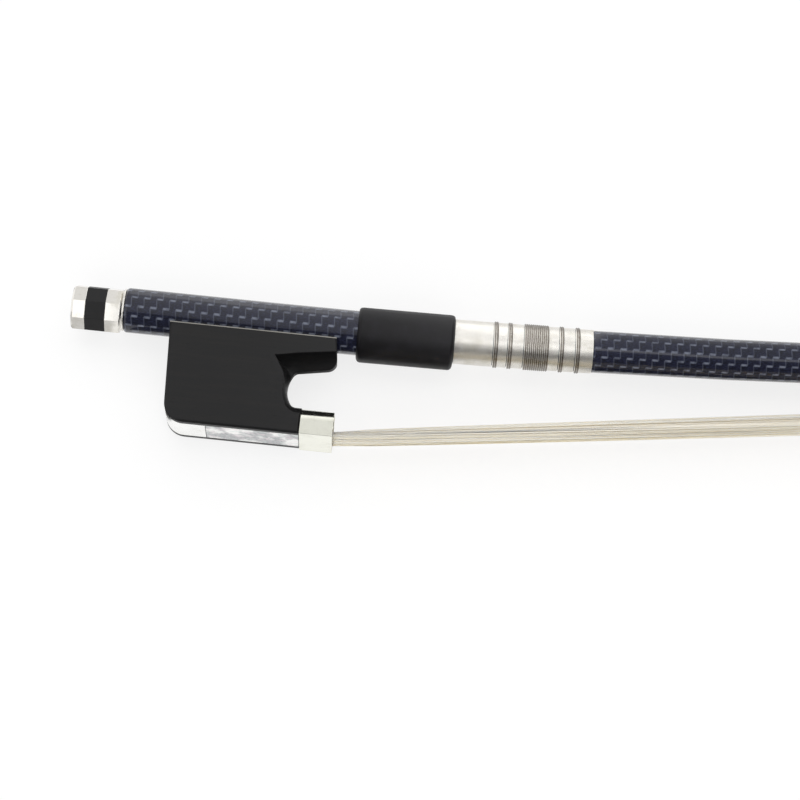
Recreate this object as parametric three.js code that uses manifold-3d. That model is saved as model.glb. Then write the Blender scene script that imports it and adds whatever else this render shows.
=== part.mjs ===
// A cello bow: a braided carbon stick with its silver lapping and thumb grip, an ebony frog that slides
// along the handle, the octagonal button whose screw draws the frog, and the ribbon of horse hair.
// X runs along the handle from the button to the head, +Y points away from the hair, and Z is across the bow.
import * as THREE from "three";
import { mergeVertices } from "three/addons/utils/BufferGeometryUtils.js";
import Module from "manifold-3d";

// Clearances and roundings
const runningGap = 0.15;
const seatGap = 0.05;
const looseGap = 0.3;
const cutOverrun = 1;
const weldDistance = 0.0001;

// Button: cap, core and ring in one row, eight flats
const buttonAcross = 10.9;
const buttonRoll = (22 * Math.PI) / 180;
const capLength = 3.6;
const coreLength = 5.2;
const ringLength = 3.9;
const capChamfer = 0.5;
const ringChamfer = 0.25;
const spigotRadius = 3.5;
const spigotInset = 1;
const buttonGap = 0.3;

// Screw and eyelet
const screwRadius = 1.6;
const screwStart = 1.4;
const screwReach = 58.5;
const pilotRadius = 1.1;
const pilotLength = 5.5;
const screwDrop = 0.5;
const eyeletPlace = 20.2;
const eyeletLength = 5;
const eyeletWidth = 4;
const eyeletTop = 2.4;
const eyeletBase = 4.6;
const eyeletPostRadius = 1.7;
const eyeletPostReach = 13;
const frogTravelBack = 7;
const frogTravelForward = 3.5;

// Stick
const collarLength = 0.5;
const collarRadius = 5.45;
const collarBore = 2.1;
const buttRound = 0.8;
const handleRadius = 5.8;
const lappedRadiusNear = 5.48;
const lappedRadiusFar = 5.34;
const waistRadius = 5.45;
const middleRadius = 4.5;
const upperRadius = 3.7;
const tipRadius = 3.05;
const middlePlace = 400;
const upperPlace = 590;
const tubeWall = 1.55;
const hollowEnd = 640;
const insertLength = 47;
const stationStep = 34;
const stickSides = 24;

// Camber: the handle is straight, then the stick bends in two long arcs
const camberStart = 52;
const camberChange = 187;
const nearBendRadius = 2222;
const farBendRadius = 2967;

// Thumb grip and lapping
const gripSetback = 1.6;
const gripLength = 24.9;
const gripRadius = 7.15;
const gripRound = 1.1;
const gripDrop = 0.4;
const lappingLength = 35.8;
const wireRadius = 0.13;
const lappingRadiusNear = 5.82;
const lappingRadiusFar = 5.68;
const silverLoops = 21;
const wireSteps = 24;
const wireSides = 6;
const middleBandLoops = 4;
const middleBandShare = 0.584;
const thinBandShares = [0.268, 0.374, 0.743, 0.86];
const lappingStartGap = 0.6;

// Frog, drawn from its heel; depths are counted down from the stick's axis
const heelSetback = 12.3;
const frogLength = 42.8;
const frogDepth = 30.3;
const railDepth = 3.6;
const frogTopHalf = 6;
const frogFootHalf = 7.2;
const frogEdge = 0.45;
const heelLean = (3 * Math.PI) / 180;
const heelCorner = 5.2;
const frontLean = (5.5 * Math.PI) / 180;
const beakDepth = 10.6;
const beakLean = (10 * Math.PI) / 180;
const beakCorner = 2.6;
const beakReach = 11.2;
const throatCornerShare = 0.2;
const throatBowShare = 0.093;
const ledgeLift = 0.1;
const throatEdgeHalf = 1;
const linerWall = 0.25;

// Ferrule and tongue
const throatLedge = 1.55;
const ferruleLength = 8.4;
const ferruleHalf = 7.7;
const ferruleWall = 0.5;
const ferruleSide = 3.56;
const ferruleRise = 4.55;
const ferruleProud = 0.15;
const tongueLift = 3.3;
const tongueSetback = 0.35;

// Slide, heel plate and the space for the hair
const slideHalf = 5.2;
const dovetailFlare = 0.5;
const pearlWall = 0.75;
const slideBackWall = 0.75;
const heelPlateWall = 0.7;
const heelPlateFoot = 12;
const heelPlateRise = 13.5;
const pinRadius = 0.6;
const pinLength = 3;
const pinSpacing = 5.2;
const pinFirst = 2.8;
const hairChannelLift = 3;
const mortiseSetback = 6.9;
const mortiseLength = 9.5;
const mortiseHalf = 4.9;
const mortiseLift = 10.3;
const knotLength = 3.4;
const knotHeight = 4;
const plugLength = 5.2;

// Hair
const hairThickness = 0.8;
const hairMouthWidth = 12.4;
const hairInnerWidth = 9.4;
const hairTipWidth = 7.6;
const hairMouthLift = 1.4;
const hairInnerLift = 2.3;
const hairTurn = 1.6;
const wedgeLength = 6;
const wedgeHalf = 6.2;

// Head, drawn along the hair's line from the back of its plate
const tipPlace = 682;
const tipDrop = 20;
const headLength = 28;
const plateWall = 1.2;
const plateHalf = 5.6;
const plateBend = 18;
const noseHalf = 1.4;
const noseHeight = 1.8;
const noseLift = 1.6;
const crestPlace = 15;
const throatReach = 15;
const tipMortiseStart = 6;
const tipMortiseLength = 9;
const tipMortiseHalf = 4.2;
const tipMortiseDepth = 7.2;
const tipWedgeLength = 6;
const tipWedgeDepth = 6.5;
const tipTurn = 1.1;
const tipHairRise = 3.2;
const tipKnotHeight = 2.7;

const arcSteps = 10;
const throatSteps = 8;
const roundSteps = 14;

const wasm = await Module();
wasm.setup();

// Places along the bow that follow from the sizes above
const buttonLength = capLength + coreLength + ringLength;
const collarStart = buttonLength + buttonGap;
const buttPlace = collarStart + collarLength;
const heelPlace = buttPlace + heelSetback;
const gripStart = heelPlace + frogLength + frogTravelForward + gripSetback;
const gripEnd = gripStart + gripLength;
const lappingStart = gripEnd + seatGap;
const lappingEnd = lappingStart + lappingLength;
const insertEnd = buttPlace + insertLength;
const boreRadius = handleRadius - tubeWall;
const channelRadius = handleRadius + runningGap;
const stickEnd = tipPlace - throatReach - 2 * tipRadius;

// Depths below the axis of what is set by its height over the frog's foot
const ferruleShoulder = frogDepth + ferruleProud - ferruleSide;
const archTop = ferruleShoulder - ferruleRise;
const ledgeDepth = archTop - ledgeLift;
const tongueUnderside = frogDepth - tongueLift;
const hairChannelDepth = frogDepth - hairChannelLift;
const mortiseTop = frogDepth - mortiseLift;
const hairMouthDepth = frogDepth - hairMouthLift;
const hairInnerDepth = frogDepth - hairInnerLift;
const slideTop = frogDepth - pearlWall - slideBackWall;

// Places along the frog: the throat opens behind the beak, and the ferrule starts on a ledge before it
const throatPlace = frogLength - beakReach;
const beakFoot = frogLength + (beakDepth - railDepth) * Math.tan(frontLean);
const throatHeight = ledgeDepth - beakDepth - (beakFoot - throatPlace) * Math.tan(beakLean);
const throatCorner = throatHeight * throatCornerShare;
const throatBow = throatHeight * throatBowShare;
const throatCentre = throatPlace + throatBow + throatCorner;
const ferrulePlace = throatCentre + throatLedge;
const ferruleFront = ferrulePlace + ferruleLength;
const mortisePlace = throatPlace - mortiseSetback - mortiseLength;

// Materials

function material(color, roughness, metalness = 0) {
  return new THREE.MeshStandardMaterial({ color, roughness, metalness });
}

function named(name, geometry, surface) {
  const mesh = new THREE.Mesh(geometry, surface);
  mesh.name = name;
  return mesh;
}

const carbon = () => material(0x23242e, 0.35);
const silver = () => material(0xdcdad2, 0.28, 1);
const ebony = () => material(0x252527, 0.5);
const steel = () => material(0xa9abad, 0.35, 1);
const brass = () => material(0xb8974e, 0.4, 1);
const boxwood = () => material(0xc9a870, 0.6);

// Solids and booleans

function solidOf(geometry) {
  const bare = geometry.clone();
  bare.deleteAttribute("normal");
  bare.deleteAttribute("uv");
  const merged = mergeVertices(bare, weldDistance);
  const mesh = new wasm.Mesh({
    numProp: 3,
    vertProperties: merged.attributes.position.array,
    triVerts: new Uint32Array(merged.index.array),
  });
  return new wasm.Manifold(mesh);
}

function geometryOf(solid) {
  const mesh = solid.getMesh();
  const shared = new THREE.BufferGeometry();
  shared.setAttribute("position", new THREE.BufferAttribute(mesh.vertProperties, 3));
  shared.setIndex(new THREE.BufferAttribute(mesh.triVerts, 1));
  const flat = shared.toNonIndexed();
  flat.computeVertexNormals();
  return flat;
}

// The first solid, less all the others
function cut(first, ...others) {
  let solid = solidOf(first);
  for (const other of others) {
    solid = solid.subtract(solidOf(other));
  }
  return geometryOf(solid);
}

function join(...parts) {
  let solid = solidOf(parts[0]);
  for (const part of parts.slice(1)) {
    solid = solid.add(solidOf(part));
  }
  return geometryOf(solid);
}

// Extrusions

const axisX = new THREE.Vector3(1, 0, 0);
const axisY = new THREE.Vector3(0, 1, 0);
const axisZ = new THREE.Vector3(0, 0, 1);

function extrude(shape, length, steps, chamfer) {
  const geometry = new THREE.ExtrudeGeometry(shape, {
    depth: length - 2 * chamfer,
    curveSegments: steps,
    bevelEnabled: chamfer > 0,
    bevelThickness: chamfer,
    bevelSize: chamfer,
    bevelOffset: -chamfer,
    bevelSegments: 1,
  });
  return geometry.translate(0, 0, chamfer);
}

// A section drawn in Y and Z, drawn out along X
function alongX(shape, from, to, steps = arcSteps, chamfer = 0) {
  const turn = new THREE.Matrix4().makeBasis(axisY, axisZ, axisX);
  return extrude(shape, to - from, steps, chamfer).applyMatrix4(turn).translate(from, 0, 0);
}

// A section drawn in Z and X, drawn out along Y
function alongY(shape, from, to, steps = arcSteps) {
  const turn = new THREE.Matrix4().makeBasis(axisZ, axisX, axisY);
  return extrude(shape, to - from, steps, 0).applyMatrix4(turn).translate(0, from, 0);
}

// An outline drawn in X and Y, drawn out to both sides of the bow's middle plane
function acrossZ(shape, half, steps = arcSteps, chamfer = 0) {
  return extrude(shape, 2 * half, steps, chamfer).translate(0, 0, -half);
}

function polygon(points) {
  return new THREE.Shape(points.map(([x, y]) => new THREE.Vector2(x, y)));
}

function rectangle(x0, y0, x1, y1) {
  return polygon([
    [x0, y0],
    [x1, y0],
    [x1, y1],
    [x0, y1],
  ]);
}

function disc(radius, x = 0, y = 0) {
  return new THREE.Shape().absarc(x, y, radius, 0, 2 * Math.PI, false);
}

function rod(radius, from, to) {
  return alongX(disc(radius), from, to, roundSteps);
}

function post(radius, place, from, to) {
  return alongY(disc(radius, 0, place), from, to, roundSteps);
}

function octagon(across) {
  const corner = across / 2 / Math.cos(Math.PI / 8);
  const points = [];
  for (let i = 0; i < 8; i++) {
    const angle = ((i + 0.5) * Math.PI) / 4;
    points.push([corner * Math.cos(angle), corner * Math.sin(angle)]);
  }
  return polygon(points);
}

// A skin over rings of points. The rings run anticlockwise seen from ahead. A looped skin joins its last
// ring to its first, and the others are capped.
function skin(rings, looped = false) {
  const count = rings[0].length;
  const points = rings.flat();
  const faces = [];
  const spans = looped ? rings.length : rings.length - 1;
  for (let i = 0; i < spans; i++) {
    const near = i * count;
    const far = ((i + 1) % rings.length) * count;
    for (let j = 0; j < count; j++) {
      const next = (j + 1) % count;
      faces.push(near + j, near + next, far + next, near + j, far + next, far + j);
    }
  }
  if (!looped) {
    for (const [ring, start, flip] of [
      [rings[0], 0, true],
      [rings[rings.length - 1], (rings.length - 1) * count, false],
    ]) {
      const middle = new THREE.Vector3();
      ring.forEach((point) => middle.add(point));
      points.push(middle.divideScalar(count));
      const hub = points.length - 1;
      for (let j = 0; j < count; j++) {
        const here = start + j;
        const next = start + ((j + 1) % count);
        faces.push(hub, flip ? next : here, flip ? here : next);
      }
    }
  }
  const geometry = new THREE.BufferGeometry().setFromPoints(points);
  geometry.setIndex(faces);
  const flat = geometry.toNonIndexed();
  flat.computeVertexNormals();
  return flat;
}

// The stick's line

function camberAt(x) {
  if (x <= camberStart) {
    return { height: 0, slope: 0 };
  }
  const nearRun = Math.min(x, camberChange) - camberStart;
  const nearHeight = (nearRun * nearRun) / (2 * nearBendRadius);
  const nearSlope = nearRun / nearBendRadius;
  const farRun = Math.max(x - camberChange, 0);
  const farHeight = (farRun * farRun) / (2 * farBendRadius);
  return {
    height: nearHeight + nearSlope * farRun + farHeight,
    slope: nearSlope + farRun / farBendRadius,
  };
}

function frameAt(x) {
  const { height, slope } = camberAt(x);
  const centre = new THREE.Vector3(x, height, 0);
  const up = new THREE.Vector3(-slope, 1, 0).normalize();
  return { centre, up };
}

function pointAround(x, radius, angle) {
  const { centre, up } = frameAt(x);
  return centre.addScaledVector(up, radius * Math.cos(angle)).addScaledVector(axisZ, radius * Math.sin(angle));
}

function ringAround(x, radius) {
  const ring = [];
  for (let i = 0; i < stickSides; i++) {
    ring.push(pointAround(x, radius, (2 * Math.PI * i) / stickSides));
  }
  return ring;
}

const stickTaper = [
  [buttPlace + buttRound, handleRadius],
  [gripStart, handleRadius],
  [lappingStart, lappedRadiusNear],
  [lappingEnd - seatGap, lappedRadiusFar],
  [lappingEnd, waistRadius],
  [middlePlace, middleRadius],
  [upperPlace, upperRadius],
  [stickEnd, tipRadius],
];

function between(table, x) {
  let i = 1;
  while (i < table.length - 1 && x > table[i][0]) {
    i++;
  }
  const [x0, value0] = table[i - 1];
  const [x1, value1] = table[i];
  const share = Math.min(Math.max((x - x0) / (x1 - x0), 0), 1);
  return value0 + (value1 - value0) * share;
}

const stickRadiusAt = (x) => between(stickTaper, x);

// Stations that every ring-built piece on the stick shares, so that their facets run side by side
function stickStations() {
  const stations = [camberStart, gripStart, gripEnd, lappingStart];
  stations.push((lappingStart + lappingEnd) / 2, lappingEnd - seatGap, lappingEnd);
  const count = Math.round((stickEnd - lappingEnd) / stationStep);
  for (let i = 1; i <= count; i++) {
    stations.push(lappingEnd + ((stickEnd - lappingEnd) * i) / count);
  }
  return stations.sort((a, b) => a - b);
}

// The hair's line from the ferrule's mouth to the head

const mouthPlace = heelPlace + ferruleFront;
const tipPoint = new THREE.Vector2(tipPlace, camberAt(tipPlace).height - tipDrop);
const mouthPoint = new THREE.Vector2(mouthPlace, -hairMouthDepth);
const hairAngle = Math.atan2(tipPoint.y - mouthPoint.y, tipPoint.x - mouthPoint.x);
const plateFace = hairThickness / 2 + looseGap;
const tipHairPlace = tipMortiseStart + tipWedgeLength + 2 * looseGap + hairThickness / 2;

// Head, in the frame of the hair's line: u runs along the hair from the back of the plate, v away from it

function stickOverHair(u) {
  const x = tipPlace + u * Math.cos(hairAngle) - tipDrop * Math.sin(hairAngle);
  const rise = camberAt(x).height - tipPoint.y;
  return rise * Math.cos(hairAngle) - (x - tipPlace) * Math.sin(hairAngle);
}

function plateHalfAt(u) {
  const widest = tipMortiseStart + tipMortiseLength / 2;
  const share = Math.max(u - widest, 0) / (headLength - widest);
  return plateHalf - (plateHalf - noseHalf) * share * share;
}

// How far the plate has turned up towards the nose
function noseLiftAt(u) {
  const share = Math.max(u - plateBend, 0) / (headLength - plateBend);
  return noseLift * share * share;
}

// One section: round like the stick where the blend is 0, flat-footed with a rounded back where it is 1
function headRing(u, low, high, half, blend) {
  const ring = [];
  const bottom = stickSides / 2;
  for (let i = 0; i < stickSides; i++) {
    const side = i <= bottom ? 1 : -1;
    const k = i <= bottom ? i : stickSides - i;
    const roundAngle = (Math.PI * k) / bottom;
    const footAngle = (Math.PI * Math.min(k, bottom - 1)) / (bottom - 1);
    const share = (1 + Math.cos(footAngle)) / 2;
    const roundHeight = low + ((high - low) * (1 + Math.cos(roundAngle))) / 2;
    const footHeight = low + (high - low) * share;
    const roundHalf = tipRadius * Math.sin(roundAngle);
    const footHalf = k === bottom ? 0 : half * Math.sqrt(1 - share * share * share);
    const v = roundHeight + (footHeight - roundHeight) * blend;
    const z = side * (roundHalf + (footHalf - roundHalf) * blend);
    ring.push(new THREE.Vector3(u, v, z));
  }
  return ring;
}

function headRings() {
  const foot = plateFace + plateWall + looseGap;
  const rings = [];
  const backSteps = 9;
  for (let i = 0; i <= backSteps; i++) {
    const angle = (Math.PI / 2) * (1 - i / backSteps);
    const u = -throatReach * (1 - Math.cos(angle));
    const axis = stickOverHair(u);
    const low = foot + (axis - tipRadius - foot) * Math.sin(angle);
    const blend = 1 - Math.sin(angle);
    const half = tipRadius + (plateHalf - tipRadius) * blend;
    rings.push(headRing(u, low, axis + tipRadius, half, blend));
  }
  const crest = stickOverHair(crestPlace) + tipRadius;
  const frontSteps = 14;
  for (let i = 1; i <= frontSteps; i++) {
    const u = (headLength * i) / frontSteps;
    const low = foot + noseLiftAt(u);
    const left = Math.min((headLength - u) / (headLength - crestPlace), 1);
    const nose = foot + noseLift + noseHeight;
    const front = nose + (crest - nose) * Math.pow(left, 1.2);
    const high = Math.min(front, stickOverHair(u) + tipRadius);
    rings.push(headRing(u, low, high, plateHalfAt(u), 1));
  }
  const turn = new THREE.Matrix4().makeRotationZ(hairAngle).setPosition(tipPoint.x, tipPoint.y, 0);
  return rings.map((ring) => ring.map((point) => point.applyMatrix4(turn)));
}

// The box that the hair's knot and wedge sit in, cut through the plate into the head
function tipMortise() {
  const hole = rectangle(
    tipMortiseStart,
    0,
    tipMortiseStart + tipMortiseLength,
    plateFace + tipMortiseDepth,
  );
  return acrossZ(hole, tipMortiseHalf);
}

// Stick

function carbonStick() {
  const outer = [];
  const buttSteps = 4;
  for (let i = 0; i < buttSteps; i++) {
    const angle = (Math.PI / 2) * (i / buttSteps);
    const x = buttPlace + buttRound * (1 - Math.sin(angle));
    outer.unshift(ringAround(x, handleRadius - buttRound * (1 - Math.cos(angle))));
  }
  outer.unshift(ringAround(buttPlace, handleRadius - buttRound));
  const inner = [ringAround(buttPlace, boreRadius)];
  for (const x of stickStations()) {
    outer.push(ringAround(x, stickRadiusAt(x)));
    if (x < hollowEnd) {
      inner.unshift(ringAround(x, stickRadiusAt(x) - tubeWall));
    }
  }
  const tube = skin([...inner, ...outer, ...headRings()]);
  const mortise = tipMortise().rotateZ(hairAngle).translate(tipPoint.x, tipPoint.y, 0);
  return cut(tube, mortise, eyeletSlot(boreRadius - tubeWall));
}

// The slot that the eyelet travels in, up to a height below the axis where it is negative
function eyeletSlot(depthFromAxis) {
  const centre = heelPlace + eyeletPlace;
  const from = centre - eyeletLength / 2 - frogTravelBack - looseGap;
  const to = centre + eyeletLength / 2 + frogTravelForward + looseGap;
  const half = eyeletWidth / 2 + looseGap;
  return alongX(rectangle(-handleRadius - cutOverrun, -half, -depthFromAxis, half), from, to);
}

// A bore on the screw's axis, which lies a little below the stick's
function boreForScrew(radius, from, to) {
  return rod(radius, from, to).translate(0, -screwDrop, 0);
}

function handleInsert() {
  const body = alongX(stickDisc(boreRadius - seatGap), buttPlace, insertEnd);
  const pilotStart = screwReach - pilotLength;
  const bore = boreForScrew(screwRadius + runningGap, buttPlace - cutOverrun, pilotStart + looseGap);
  const pilotBore = boreForScrew(pilotRadius + runningGap, pilotStart, screwReach + looseGap);
  return cut(body, bore, pilotBore, eyeletSlot(-eyeletTop - runningGap));
}

// A disc with as many sides as the stick, its corners lined up with the stick's
function stickDisc(radius) {
  const points = [];
  for (let i = 0; i < stickSides; i++) {
    const angle = (2 * Math.PI * i) / stickSides;
    points.push([radius * Math.cos(angle), radius * Math.sin(angle)]);
  }
  return polygon(points);
}

function buttCollar() {
  const ring = rod(collarRadius, collarStart, buttPlace - seatGap);
  return cut(ring, boreForScrew(collarBore, collarStart - cutOverrun, buttPlace + cutOverrun));
}

// Thumb grip: a short sleeve with rounded ends, its inside following the stick, thicker on the thumb's side
function thumbGrip() {
  const inner = [];
  for (const x of stickStations()) {
    if (x >= gripStart && x <= gripEnd) {
      inner.unshift(ringAround(x, stickRadiusAt(x) + seatGap));
    }
  }
  const outer = [];
  const steps = 4;
  for (const [end, inward] of [
    [gripStart, 1],
    [gripEnd, -1],
  ]) {
    const rounded = [];
    for (let i = 0; i <= steps; i++) {
      const angle = (Math.PI / 2) * (i / steps);
      const x = end + inward * gripRound * (1 - Math.cos(angle));
      const ring = ringAround(x, gripRadius - gripRound * (1 - Math.sin(angle)));
      rounded.push(ring.map((point) => point.addScaledVector(frameAt(x).up, -gripDrop * Math.sin(angle))));
    }
    outer.push(...(inward > 0 ? rounded : rounded.reverse()));
  }
  return skin([...inner, ...outer], true);
}

// Lapping: one wire wound on the stick. All its windings share one pitch, so that the dark turns lie midway
// between the silver ones.

const lappingPitch = (lappingLength - 2 * lappingStartGap) / silverLoops;

function lappingPoint(turn, lag) {
  const x = lappingStart + lappingStartGap + lappingPitch * (turn + lag);
  const share = (x - lappingStart) / lappingLength;
  const outside = lappingRadiusNear + (lappingRadiusFar - lappingRadiusNear) * share;
  return pointAround(x, outside - wireRadius, 2 * Math.PI * turn);
}

// The smallest distance between one turn's wire and the next
function leastWireGap(line) {
  let least = Infinity;
  for (let i = 0; i < line.length; i++) {
    for (let j = i + wireSteps / 2; j < line.length; j++) {
      least = Math.min(least, line[i].distanceTo(line[j]));
    }
  }
  return least - 2 * wireRadius;
}

function winding(name, firstTurn, loops, lag) {
  const line = [];
  const steps = loops * wireSteps;
  for (let i = 0; i <= steps; i++) {
    line.push(lappingPoint(firstTurn + i / wireSteps, lag));
  }
  const start = line[0].clone().sub(line[1]).setLength(2 * wireRadius);
  const end = line[steps].clone().sub(line[steps - 1]).setLength(2 * wireRadius);
  line.unshift(line[0].clone().add(start));
  line.push(line[steps + 1].clone().add(end));
  if (loops > 1) {
    console.log(name, "least gap between turns, mm:", leastWireGap(line).toFixed(2));
  }
  const rings = line.map((point, i) => {
    const ahead = line[Math.min(i + 1, line.length - 1)];
    const behind = line[Math.max(i - 1, 0)];
    const along = ahead.clone().sub(behind).normalize();
    const out = point.clone().sub(frameAt(point.x).centre);
    out.addScaledVector(along, -out.dot(along)).normalize();
    const side = along.clone().cross(out);
    const ring = [];
    for (let j = 0; j < wireSides; j++) {
      const angle = (2 * Math.PI * j) / wireSides;
      ring.push(
        point
          .clone()
          .addScaledVector(out, wireRadius * Math.cos(angle))
          .addScaledVector(side, wireRadius * Math.sin(angle)),
      );
    }
    return ring;
  });
  return skin(rings);
}

function silverLapping() {
  return winding("silver lapping", 0, silverLoops, 0);
}

// Dark turns around a share of the lapping's length, each midway between two silver ones
function darkTurns(name, share, loops) {
  const place = share * lappingLength - lappingStartGap;
  const firstTurn = Math.round(place / lappingPitch - loops / 2);
  return winding(name, firstTurn, loops, 0.5);
}

// Button

function buttonCap() {
  const block = alongX(octagon(buttonAcross), 0, capLength, arcSteps, capChamfer);
  const square = alongX(octagon(buttonAcross), capLength / 2, capLength);
  const socket = rod(spigotRadius + seatGap, spigotInset, capLength + cutOverrun);
  return cut(join(block, square), socket);
}

function buttonCore() {
  const end = capLength + coreLength;
  const block = alongX(octagon(buttonAcross), capLength, end);
  const spigot = rod(spigotRadius, spigotInset + seatGap, buttonLength - spigotInset);
  const bore = rod(screwRadius + seatGap, screwStart - seatGap, buttonLength);
  return cut(join(block, spigot), bore);
}

function buttonRing() {
  const start = capLength + coreLength;
  const block = alongX(octagon(buttonAcross), start, buttonLength, arcSteps, ringChamfer);
  const square = alongX(octagon(buttonAcross), start, buttonLength - ringLength / 2);
  const wide = rod(spigotRadius + seatGap, start - cutOverrun, buttonLength - spigotInset + seatGap);
  const narrow = rod(screwRadius + runningGap, start, buttonLength + cutOverrun);
  return cut(join(block, square), wide, narrow);
}

function screw() {
  const pilotStart = screwReach - pilotLength;
  const profile = [
    [0, screwStart],
    [screwRadius, screwStart],
    [screwRadius, pilotStart - looseGap],
    [pilotRadius, pilotStart - looseGap + screwRadius - pilotRadius],
    [pilotRadius, screwReach],
    [0, screwReach],
  ];
  const points = profile.map(([radius, x]) => new THREE.Vector2(radius, x));
  return new THREE.LatheGeometry(points, 2 * roundSteps).rotateZ(-Math.PI / 2);
}

// Frog

const heelHeight = frogDepth - heelCorner - railDepth;
const heelRun = (heelHeight - heelCorner * Math.sin(heelLean)) / Math.cos(heelLean);
const heelCentre = new THREE.Vector2(
  heelCorner * Math.cos(heelLean) + heelRun * Math.sin(heelLean),
  heelCorner - frogDepth,
);

function frogHalfAt(y) {
  const share = (-y - railDepth) / (frogDepth - railDepth);
  return frogTopHalf + (frogFootHalf - frogTopHalf) * share;
}

// Height of the beak's underside, which rises towards the front
function beakUnderside(x) {
  return -beakDepth - (beakFoot - x) * Math.tan(beakLean);
}

// The throat's rear wall, from the beak down to the ledge: a wide arc between two small corners
function throatArcs() {
  const upperY = beakUnderside(throatCentre) - throatCorner / Math.cos(beakLean);
  const lowerY = throatCorner - ledgeDepth;
  const half = (upperY - lowerY) / 2;
  const reach = (half * half + throatBow * throatBow) / (2 * throatBow);
  const turn = Math.asin(half / reach);
  const radius = reach + throatCorner;
  return [
    { x: throatCentre, y: upperY, radius: throatCorner, from: Math.PI / 2 + beakLean, to: Math.PI - turn },
    { x: throatPlace + radius, y: (upperY + lowerY) / 2, radius, from: Math.PI - turn, to: Math.PI + turn },
    { x: throatCentre, y: lowerY, radius: throatCorner, from: Math.PI + turn, to: 1.5 * Math.PI },
  ];
}

function frogOutline() {
  const shape = new THREE.Shape();
  const top = -railDepth + cutOverrun;
  const heelAngle = Math.PI + heelLean;
  shape.moveTo(-(top + railDepth) * Math.tan(heelLean), top);
  shape.lineTo(
    heelCentre.x + heelCorner * Math.cos(heelAngle),
    heelCentre.y + heelCorner * Math.sin(heelAngle),
  );
  shape.absarc(heelCentre.x, heelCentre.y, heelCorner, heelAngle, 1.5 * Math.PI, false);
  shape.lineTo(ferrulePlace - seatGap, -frogDepth);
  shape.lineTo(ferrulePlace - seatGap, -ledgeDepth);
  for (const arc of throatArcs().reverse()) {
    shape.absarc(arc.x, arc.y, arc.radius, arc.to, arc.from, true);
  }
  const beakX = beakFoot - beakCorner;
  const beakY = beakUnderside(beakX) + beakCorner / Math.cos(beakLean);
  shape.absarc(beakX, beakY, beakCorner, 1.5 * Math.PI + beakLean, 2 * Math.PI, false);
  shape.lineTo(frogLength - (top + railDepth) * Math.tan(frontLean), top);
  return shape;
}

function taperSides(geometry) {
  const place = geometry.attributes.position;
  for (let i = 0; i < place.count; i++) {
    place.setZ(i, (place.getZ(i) * frogHalfAt(place.getY(i))) / frogFootHalf);
  }
  return geometry;
}

// The throat's wall as a path with the way into the open throat: back along the beak, down the wall, and out
// over the tongue
function throatPath() {
  const path = [];
  const straightSteps = 5;
  const start = beakFoot + cutOverrun;
  const end = throatCentre - throatCorner * Math.sin(beakLean);
  for (let i = 0; i < straightSteps; i++) {
    const x = start + ((end - start) * i) / straightSteps;
    path.push({ x, y: beakUnderside(x), out: new THREE.Vector3(Math.sin(beakLean), -Math.cos(beakLean), 0) });
  }
  for (const arc of throatArcs()) {
    for (let i = 0; i < throatSteps; i++) {
      const angle = arc.from + ((arc.to - arc.from) * i) / throatSteps;
      path.push({
        x: arc.x + arc.radius * Math.cos(angle),
        y: arc.y + arc.radius * Math.sin(angle),
        out: new THREE.Vector3(-Math.cos(angle), -Math.sin(angle), 0),
      });
    }
  }
  for (const x of [throatCentre, ferrulePlace + cutOverrun]) {
    path.push({ x, y: -ledgeDepth, out: new THREE.Vector3(0, 1, 0) });
  }
  return path;
}

// How the hollow beside the throat changes along its path: how far it runs up the frog's side, and how much it
// is hollow (below zero) or rounded (above zero)
const coveShares = [
  { at: 0, run: 0.45, bulge: -0.2 },
  { at: 0.15, run: 0.49, bulge: -0.22 },
  { at: 0.233, run: 0.51, bulge: -0.21 },
  { at: 0.3, run: 0.56, bulge: -0.2 },
  { at: 0.367, run: 0.66, bulge: -0.18 },
  { at: 0.4, run: 0.75, bulge: -0.17 },
  { at: 0.433, run: 0.87, bulge: -0.16 },
  { at: 0.467, run: 0.44, bulge: -0.1 },
  { at: 0.5, run: 0.22, bulge: -0.04 },
  { at: 0.533, run: 0.13, bulge: 0 },
  { at: 0.63, run: 0.18, bulge: 0.05 },
  { at: 0.7, run: 0.24, bulge: 0.07 },
  { at: 0.833, run: 0.32, bulge: 0.09 },
  { at: 0.967, run: 0.38, bulge: 0.11 },
  { at: 1, run: 0.38, bulge: 0.11 },
];

function coveAt(share, key) {
  return between(
    coveShares.map((row) => [row.at, row[key]]),
    share,
  );
}

function cove(side) {
  const path = throatPath();
  const bendSteps = 5;
  const far = frogFootHalf + cutOverrun;
  const rings = path.map((place, i) => {
    const share = i / (path.length - 1);
    const run = coveAt(share, "run") * (frogFootHalf - seatGap);
    const bulge = coveAt(share, "bulge");
    const half = frogHalfAt(place.y - place.out.y * run) + seatGap;
    const start = new THREE.Vector2(0, throatEdgeHalf);
    const end = new THREE.Vector2(-run, half);
    const chord = end.clone().sub(start);
    const away = new THREE.Vector2(chord.y, -chord.x);
    const section = [new THREE.Vector2(cutOverrun / 2, throatEdgeHalf)];
    section.push(new THREE.Vector2(cutOverrun / 2, far), new THREE.Vector2(-run, far));
    for (let j = 0; j <= bendSteps; j++) {
      const t = j / bendSteps;
      const point = end.clone().addScaledVector(chord, -t);
      section.push(point.addScaledVector(away, 4 * t * (1 - t) * bulge));
    }
    const ring = section.map(
      (point) =>
        new THREE.Vector3(place.x + place.out.x * point.x, place.y + place.out.y * point.x, side * point.y),
    );
    return side > 0 ? ring : ring.reverse();
  });
  return skin(rings);
}

// Ferrule section: flat foot, upright sides and an arched top
function archSection(half, shoulder, rise, foot) {
  const shape = new THREE.Shape();
  shape.moveTo(-foot, -half);
  shape.lineTo(-shoulder, -half);
  shape.absellipse(-shoulder, 0, rise, half, -Math.PI / 2, Math.PI / 2, false, 0);
  shape.lineTo(-foot, half);
  return shape;
}

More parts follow.
